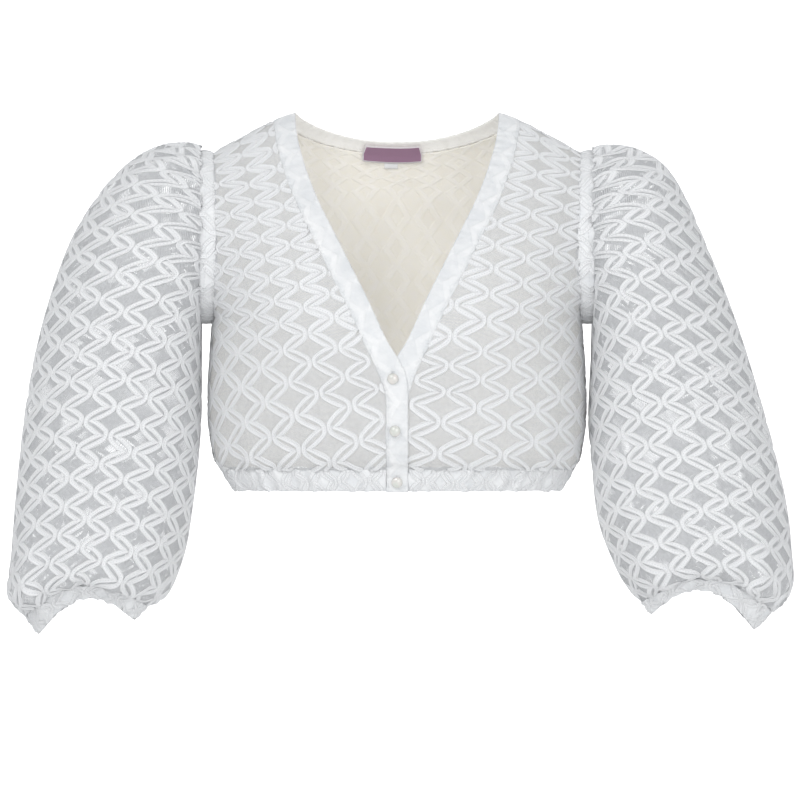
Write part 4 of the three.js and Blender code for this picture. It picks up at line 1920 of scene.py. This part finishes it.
@dataclass
class PearlButton:
    """A half-ball pearl on the placket, with the stitched hole that it goes through."""

    place: str
    x: float
    z: float
    crown: float = 3.6
    foot: float = 1.2
    ring: int = 36
    steps: int = 14
    seat: float = 1.4
    hole_half: float = 7.6
    hole_seat: float = 1.55
    stitches: int = 13
    stitch: tuple[float, float] = (1.7, 0.75)
    stitch_at: float = 1.15
    bar: tuple[float, float] = (4.2, 0.9)
    bar_gap: float = 0.8

    def frame(self, lift: float) -> Matrix:
        """Return the turn and place of something that lies on the placket here, in metres.

        Args:
            lift: Height over the placket.

        Returns:
            The matrix.
        """
        middle, facing = placket_at(self.z)
        origin = (middle + np.array([self.x, 0, 0]) + facing * lift) * MM
        turn = Vector((0, 0, 1)).rotation_difference(Vector(facing)).to_matrix().to_4x4()
        return Matrix.Translation(Vector(origin)) @ turn

    def pearl(self, finishes: Wardrobe) -> bpy.types.Object:
        """Build the pearl by spinning its outline.

        Args:
            finishes: The blouse's finishes.

        Returns:
            The pearl.
        """
        bm = bmesh.new()
        outline = []
        for k in range(self.steps + 1):
            angle = -math.pi / 2 + math.pi * k / self.steps
            tall = self.crown if angle > 0 else self.foot
            outline.append(bm.verts.new(Vector((BUTTON_RADIUS * math.cos(angle), 0,
                                                self.foot + tall * math.sin(angle))) * MM))
        edges = [bm.edges.new(pair) for pair in zip(outline, outline[1:])]
        bmesh.ops.spin(bm, geom=[*outline, *edges], cent=(0, 0, 0), axis=(0, 0, 1),
                       angle=TAU, steps=self.ring, use_merge=True, use_duplicate=False)
        bmesh.ops.remove_doubles(bm, verts=bm.verts, dist=MERGE_DISTANCE)
        bmesh.ops.recalc_face_normals(bm, faces=bm.faces)
        bmesh.ops.transform(bm, matrix=self.frame(PLACKET_LIFT + self.seat), verts=bm.verts)
        return scene_object(bm, f"pearl_{self.place}", finishes.pearl)

    def hole(self, finishes: Wardrobe) -> bpy.types.Object:
        """Build the buttonhole's whipped edge and its two end bars.

        Args:
            finishes: The blouse's finishes.

        Returns:
            The buttonhole.
        """
        bm = bmesh.new()
        lay = self.frame(PLACKET_LIFT + self.hole_seat)
        for k in range(self.stitches):
            along = (2 * k / (self.stitches - 1) - 1) * self.hole_half
            for edge in (-1, 1):
                self.thread(bm, lay, edge * self.stitch_at, along, *self.stitch)
        for end in (-1, 1):
            self.thread(bm, lay, 0.0, end * (self.hole_half + self.bar_gap), *self.bar)
        return scene_object(bm, f"buttonhole_{self.place}", finishes.thread)

    @staticmethod
    def thread(bm: bmesh.types.BMesh, lay: Matrix, across: float, along: float,
               length: float, thick: float) -> None:
        """Add one laid thread.

        Args:
            bm: The buttonhole's bmesh.
            lay: Turn and place of the buttonhole.
            across: The thread's place across the placket.
            along: Its place up the placket.
            length: Its length across.
            thick: Its thickness.
        """
        shape = Matrix.Diagonal((length * MM, thick * MM, THREAD_HEIGHT * MM, 1.0))
        made = bmesh.ops.create_cube(bm, size=1.0)["verts"]
        bmesh.ops.transform(bm, matrix=shape, verts=made)
        edges = list({edge for vert in made for edge in vert.link_edges})
        bevelled = bmesh.ops.bevel(bm, geom=edges, offset=THREAD_ROUND * MM, segments=2,
                                   profile=0.5, affect="EDGES", material=-1)
        verts = list({vert for face in bevelled["faces"] for vert in face.verts})
        bmesh.ops.transform(bm, verts=verts, matrix=lay @ Matrix.Translation(
            Vector((across * MM, along * MM, 0))))

    def build(self, finishes: Wardrobe) -> list[bpy.types.Object]:
        """Build the pearl and its buttonhole."""
        pearl = declare(self.pearl(finishes), "pearl", f"button_{self.place}")
        return [pearl, declare(self.hole(finishes), "band")]


@dataclass
class NeckLabel:
    """A small bare label sewn inside the back neck."""

    name: str
    node: str
    slot: str
    left: float
    right: float
    top: float
    bottom: float
    sink: float = 3.4
    curl: float = 0.5
    wall: float = 0.7
    seam: float = 0.0
    rows: int = 10
    columns: int = 30
    waver: float = 0.4

    def point(self, along: float, below: float) -> np.ndarray:
        """Return a point so far along and below the lower edge of the back neck band.

        Args:
            along: Distance from the middle of the back.
            below: Distance below the edge, or above it where negative.

        Returns:
            The point, in millimetres.
        """
        edge, free = back_neck_curve(edge=True), back_neck_curve(edge=False)
        run, free_run = lengths(edge), lengths(free)
        share = 0.5 + along / run[-1]
        on_edge = np.array([np.interp(share * run[-1], run, edge[:, k]) for k in range(3)])
        on_free = np.array([np.interp(share * free_run[-1], free_run, free[:, k]) for k in range(3)])
        blades = BACK_ROWS[-1]
        down = np.array([0.0, blades.edge_y, blades.edge_z]) - np.array(BACK_NECK[0].edge)
        way = on_free - on_edge if below < 0 else down
        return on_edge + way / np.linalg.norm(way) * abs(below)

    def build(self, material: bpy.types.Material) -> bpy.types.Object:
        """Build the label in its finish.

        Args:
            material: The label's finish.

        Returns:
            The label.
        """
        drops = np.linspace(self.top, self.bottom, self.rows + 1)
        runs = np.linspace(self.left, self.right, self.columns + 1)
        points = np.array([[self.point(along, drop) for along in runs] for drop in drops])
        inwards = np.cross(np.gradient(points, axis=1), np.gradient(points, axis=0))
        inwards /= np.linalg.norm(inwards, axis=2, keepdims=True)
        if inwards[..., 1].mean() > 0:
            inwards = -inwards
        share = np.linspace(-1, 1, self.columns + 1)[None, :, None]
        points = points + inwards * (self.sink + self.curl * (share**2 + self.waver * np.sin(5 * share)))
        middle, centre = (self.left + self.right) / 2, (self.top + self.bottom) / 2
        places = np.stack(np.meshgrid(runs - middle, drops - centre), axis=2)
        maker = MeshMaker()
        maker.strip(points, places)
        label = maker.finish(self.name, material, self.wall)
        declare(label, self.slot, self.node)
        cut_sheet((self.right - self.left, self.bottom - self.top + self.seam))
        return label


@dataclass
class Studio:
    """A pale floor that rises into a plain backdrop, soft lights and the camera."""

    view_half: float = 0.4
    middle: tuple[float, float] = (0.003, -0.285)
    distance: float = 8.0
    sensor: float = 36.0
    floor_z: float = -0.95
    wall_y: float = 9.0
    front_y: float = -9.5
    half_width: float = 6.0
    height: float = 6.0
    bend: float = 0.8
    steps: int = 48
    glow_from: float = 2.0
    glow_to: float = 4.5
    room_light: float = 0.57

    def backdrop(self) -> bpy.types.Object:
        """Build the floor and backdrop as one bent sheet.

        Returns:
            The sheet.
        """
        bm = bmesh.new()
        made = bmesh.ops.create_grid(bm, x_segments=1, y_segments=self.steps, size=1.0)["verts"]
        run = self.wall_y - self.front_y
        arc = self.bend * math.pi / 2
        total = run - self.bend + arc + self.height
        for vert in made:
            x, travel = vert.co.x * self.half_width, (vert.co.y + 1) / 2 * total
            flat = min(travel, run - self.bend)
            turn = min(max(travel - flat, 0.0), arc) / self.bend
            rise = max(travel - flat - arc, 0.0)
            vert.co = Vector((x, self.front_y + flat + self.bend * math.sin(turn),
                              self.floor_z + self.bend * (1 - math.cos(turn)) + rise))
        paper = scene_object(bm, "studio_floor", self.paper())
        return paper

    def paper(self) -> bpy.types.Material:
        """Make the pale paper, which glows only well behind the blouse.

        Returns:
            The paper's material.
        """
        tree = Tree("studio_paper", 0.9, {"Emission Strength": 1.0})
        here = tree.node("ShaderNodeTexCoord", output="Object")
        depth = tree.node("ShaderNodeSeparateXYZ", inputs={0: here}, output=1)
        glow = tree.mix(depth.step(self.glow_from, self.glow_to), (0.1, 0.1, 0.1), (1, 1, 1))
        tree.feed(tree.shader.inputs["Emission Color"], glow)
        tree.colour(tree.mix(tree.noise(0.6), (0.86, 0.86, 0.86), (0.88, 0.88, 0.88)))
        return tree.material

    def light(self, name: str, place: Sequence[float], size: float, power: float) -> None:
        """Hang a soft square light that looks at the blouse.

        Args:
            name: The light's name.
            place: Where it hangs, in metres.
            size: Its width in metres.
            power: Its power in watts.
        """
        lamp = bpy.data.lights.new(name, "AREA")
        lamp.size = size
        lamp.energy = power
        obj = bpy.data.objects.new(name, lamp)
        obj.location = place
        aim = Vector((0, 0, self.middle[1])) - Vector(place)
        obj.rotation_euler = aim.to_track_quat("-Z", "Y").to_euler()
        bpy.context.scene.collection.objects.link(obj)

    def camera(self) -> None:
        """Place the level camera that looks straight at the front."""
        lens = self.sensor * self.distance / (2 * self.view_half)
        data = bpy.data.cameras.new("camera")
        data.sensor_width = self.sensor
        data.lens = lens
        data.clip_end = 60
        obj = bpy.data.objects.new("camera", data)
        obj.location = (self.middle[0], -self.distance, self.middle[1])
        obj.rotation_euler = (math.pi / 2, 0, 0)
        bpy.context.scene.collection.objects.link(obj)
        bpy.context.scene.camera = obj

    def build(self) -> None:
        """Build the whole studio."""
        scene = bpy.context.scene
        self.camera()
        self.backdrop()
        for name, place, size, power in (("key", (-1.6, -3.2, 1.9), 1.6, 50),
                                         ("fill", (1.8, -3.4, 0.2), 2.4, 32),
                                         ("rim", (0.6, 1.6, 1.8), 1.6, 6)):
            self.light(name, place, size, power)
        world = bpy.data.worlds.new("room")
        world.use_nodes = True
        room = world.node_tree.nodes["Background"].inputs
        room["Color"].default_value = (0.97, 0.985, 1.0, 1.0)
        room["Strength"].default_value = self.room_light
        scene.world = world
        scene.view_settings.view_transform = "Standard"


# The lace of each front, as its own nodes lie
FRONT_LACE = {
    Side.RIGHT: Lattice(pitch=29.4, period=36.0, corner=8.4, phase_x=1.4, phase_y=21.0, lean=0.19,
                        drop=0.16, settle=(110.0, 200.0, 0.6), seed=0.3),
    Side.LEFT: Lattice(pitch=33.3, period=31.5, corner=9.4, phase_x=4.4, phase_y=7.8, lean=0.12,
                       drop=0.06, settle=(120.0, 190.0, 0.76), seed=1.9),
}

# Soft folds that rise from the hem casing, in places across each front or the back
FRONT_HEM_FOLDS = tuple(Fold(*row) for row in (
    (22, 6, 2.4, 34, 0.05), (41, 7, 3.0, 48, -0.05), (58, 6, 2.2, 30, 0.1), (79, 8, 3.4, 58, 0.04),
    (97, 6, 2.4, 32, 0.0), (116, 8, 3.0, 52, -0.06), (137, 7, 2.8, 40, 0.05), (158, 8, 3.6, 64, 0.0),
    (180, 7, 2.6, 44, 0.08), (201, 8, 3.4, 58, 0.0), (222, 7, 2.6, 46, -0.04),
))
BACK_HEM_FOLDS = tuple(Fold(sign * place, width, height, reach, sign * slant)
                       for sign in (-1, 1)
                       for place, width, height, reach, slant in (
    (12, 7, 2.6, 40, 0.05), (36, 8, 3.0, 52, 0.0), (61, 7, 2.4, 36, 0.06), (86, 8, 3.2, 60, -0.04),
    (113, 7, 2.6, 42, 0.0), (140, 8, 3.2, 56, 0.05), (168, 7, 2.8, 44, 0.0), (197, 8, 3.2, 58, 0.04),
    (226, 7, 2.6, 44, 0.0),
))

# Gathers of the sleeve cap, by place round the sleeve from the shoulder point to the front
RIGHT_CAP_FOLDS = tuple(Fold(*row) for row in (
    (-128, 8, 2.6, 60, 0.1), (-99, 8, 3.8, 86, 0.06), (-74, 7, 3.0, 66, 0.0), (-49, 8, 4.4, 104, 0.04),
    (-24, 7, 3.2, 72, 0.0), (3, 8, 4.6, 96, -0.05), (27, 7, 3.4, 80, 0.03), (52, 8, 4.4, 112, 0.0),
    (79, 7, 3.0, 70, -0.06), (103, 8, 3.8, 92, -0.05), (131, 9, 2.6, 64, -0.1), (158, 9, 1.8, 50, 0.0),
))
LEFT_CAP_FOLDS = tuple(Fold(*row) for row in (
    (-134, 9, 2.4, 58, 0.08), (-104, 8, 3.6, 80, 0.05), (-78, 8, 4.0, 94, 0.0), (-54, 7, 3.0, 66, 0.0),
    (-30, 8, 4.4, 100, 0.0), (-5, 7, 3.4, 74, -0.04), (21, 8, 4.6, 108, 0.04), (46, 7, 3.2, 68, 0.0),
    (71, 8, 4.2, 98, -0.05), (97, 8, 3.4, 84, -0.04), (123, 8, 3.0, 66, -0.08), (152, 9, 2.0, 54, 0.0),
))

# Folds that fan up from the cuff, and a few long soft ones that the whole sleeve hangs in
RIGHT_CUFF_FOLDS = tuple(Fold(*row) for row in (
    (8, 10, 4.0, 74, 0.0), (38, 9, 3.4, 56, 0.1), (66, 11, 5.0, 96, 0.05), (95, 9, 3.6, 62, 0.0),
    (121, 10, 4.6, 84, -0.05), (149, 9, 3.6, 58, 0.0), (175, 11, 4.8, 98, -0.1), (204, 9, 3.0, 54, 0.0),
    (233, 10, 3.2, 66, 0.0), (281, 11, 2.6, 60, 0.0), (322, 10, 3.2, 62, 0.0), (352, 9, 3.6, 70, 0.05),
    (381, 11, 4.6, 92, 0.0), (410, 9, 3.4, 56, 0.05), (438, 10, 4.4, 80, 0.0), (467, 9, 3.6, 60, 0.0),
    (496, 11, 4.8, 90, 0.06), (527, 9, 3.6, 62, 0.0),
    (52, 22, 3.0, 250, 0.03), (137, 24, -3.2, 280, 0.0), (196, 20, 2.6, 230, 0.02),
    (420, 22, 3.0, 250, 0.0), (480, 20, -2.6, 240, 0.0),
))
LEFT_CUFF_FOLDS = tuple(Fold(*row) for row in (
    (4, 10, 3.8, 70, 0.0), (33, 10, 4.6, 88, 0.05), (61, 9, 3.4, 56, 0.0), (88, 11, 5.0, 102, 0.0),
    (118, 9, 3.4, 60, 0.08), (145, 10, 4.4, 78, 0.0), (171, 9, 3.6, 60, -0.05), (199, 11, 4.6, 92, 0.0),
    (229, 9, 3.0, 56, 0.0), (276, 11, 2.6, 58, 0.0), (318, 10, 3.2, 64, 0.0), (349, 9, 3.8, 74, 0.0),
    (378, 10, 4.4, 84, 0.05), (407, 9, 3.6, 58, 0.0), (435, 11, 4.8, 94, 0.0), (464, 9, 3.4, 62, 0.0),
    (493, 10, 4.6, 82, 0.04), (525, 9, 3.6, 60, 0.0),
    (74, 22, 3.2, 260, 0.0), (150, 22, -3.0, 240, 0.02), (214, 22, 2.6, 240, 0.0),
    (410, 22, 3.0, 250, 0.0), (470, 20, -2.6, 230, 0.0),
))


def main() -> None:
    """Build the studio and every sub-assembly in order."""
    logging.basicConfig(level=logging.INFO, format="%(name)s: %(message)s")
    Studio().build()
    finishes = Wardrobe()
    for side in Side:
        Front(side, FRONT_LACE[side], FRONT_HEM_FOLDS).build(finishes)
    Back(Lattice(pitch=31.0, period=33.0, seed=2.6), BACK_HEM_FOLDS).build(finishes)
    for side in Side:
        neck_band(side).build(finishes.band, finishes.tape)
    back_neck_band().build(finishes.facing, finishes.tape)
    hem_casing().build(finishes)
    for side, sections, phase, seed, cap_folds, cuff_folds in (
            (Side.RIGHT, RIGHT_SLEEVE, 6.0, 0.9, RIGHT_CAP_FOLDS, RIGHT_CUFF_FOLDS),
            (Side.LEFT, LEFT_SLEEVE, 11.0, 2.2, LEFT_CAP_FOLDS, LEFT_CUFF_FOLDS)):
        lace = Lattice(pitch=28.0, period=28.0, lean=0.12, phase_x=phase, seed=seed,
                       wrap=SLEEVE_WIDTH)
        Sleeve(side, sections, lace, cap_folds, cuff_folds).build(finishes)
    for side in Side:
        armhole_binding(side).build(finishes.binding, finishes.tape)
    for place, x, z in (("top", -4, -264), ("middle", -2, -315), ("bottom", 0, -365)):
        PearlButton(place, x, z).build(finishes)
    NeckLabel("neck_label", "label", "label", left=-36, right=26, top=-11,
              bottom=8.5).build(finishes.label)
    NeckLabel("size_mark", "size_tab", "size_tab", left=-13, right=1, top=6.2, bottom=14.5,
              sink=2.9, curl=0.2, wall=0.4, seam=1.8, rows=5, columns=10).build(finishes.tab)


if __name__ == "__main__":
    main()
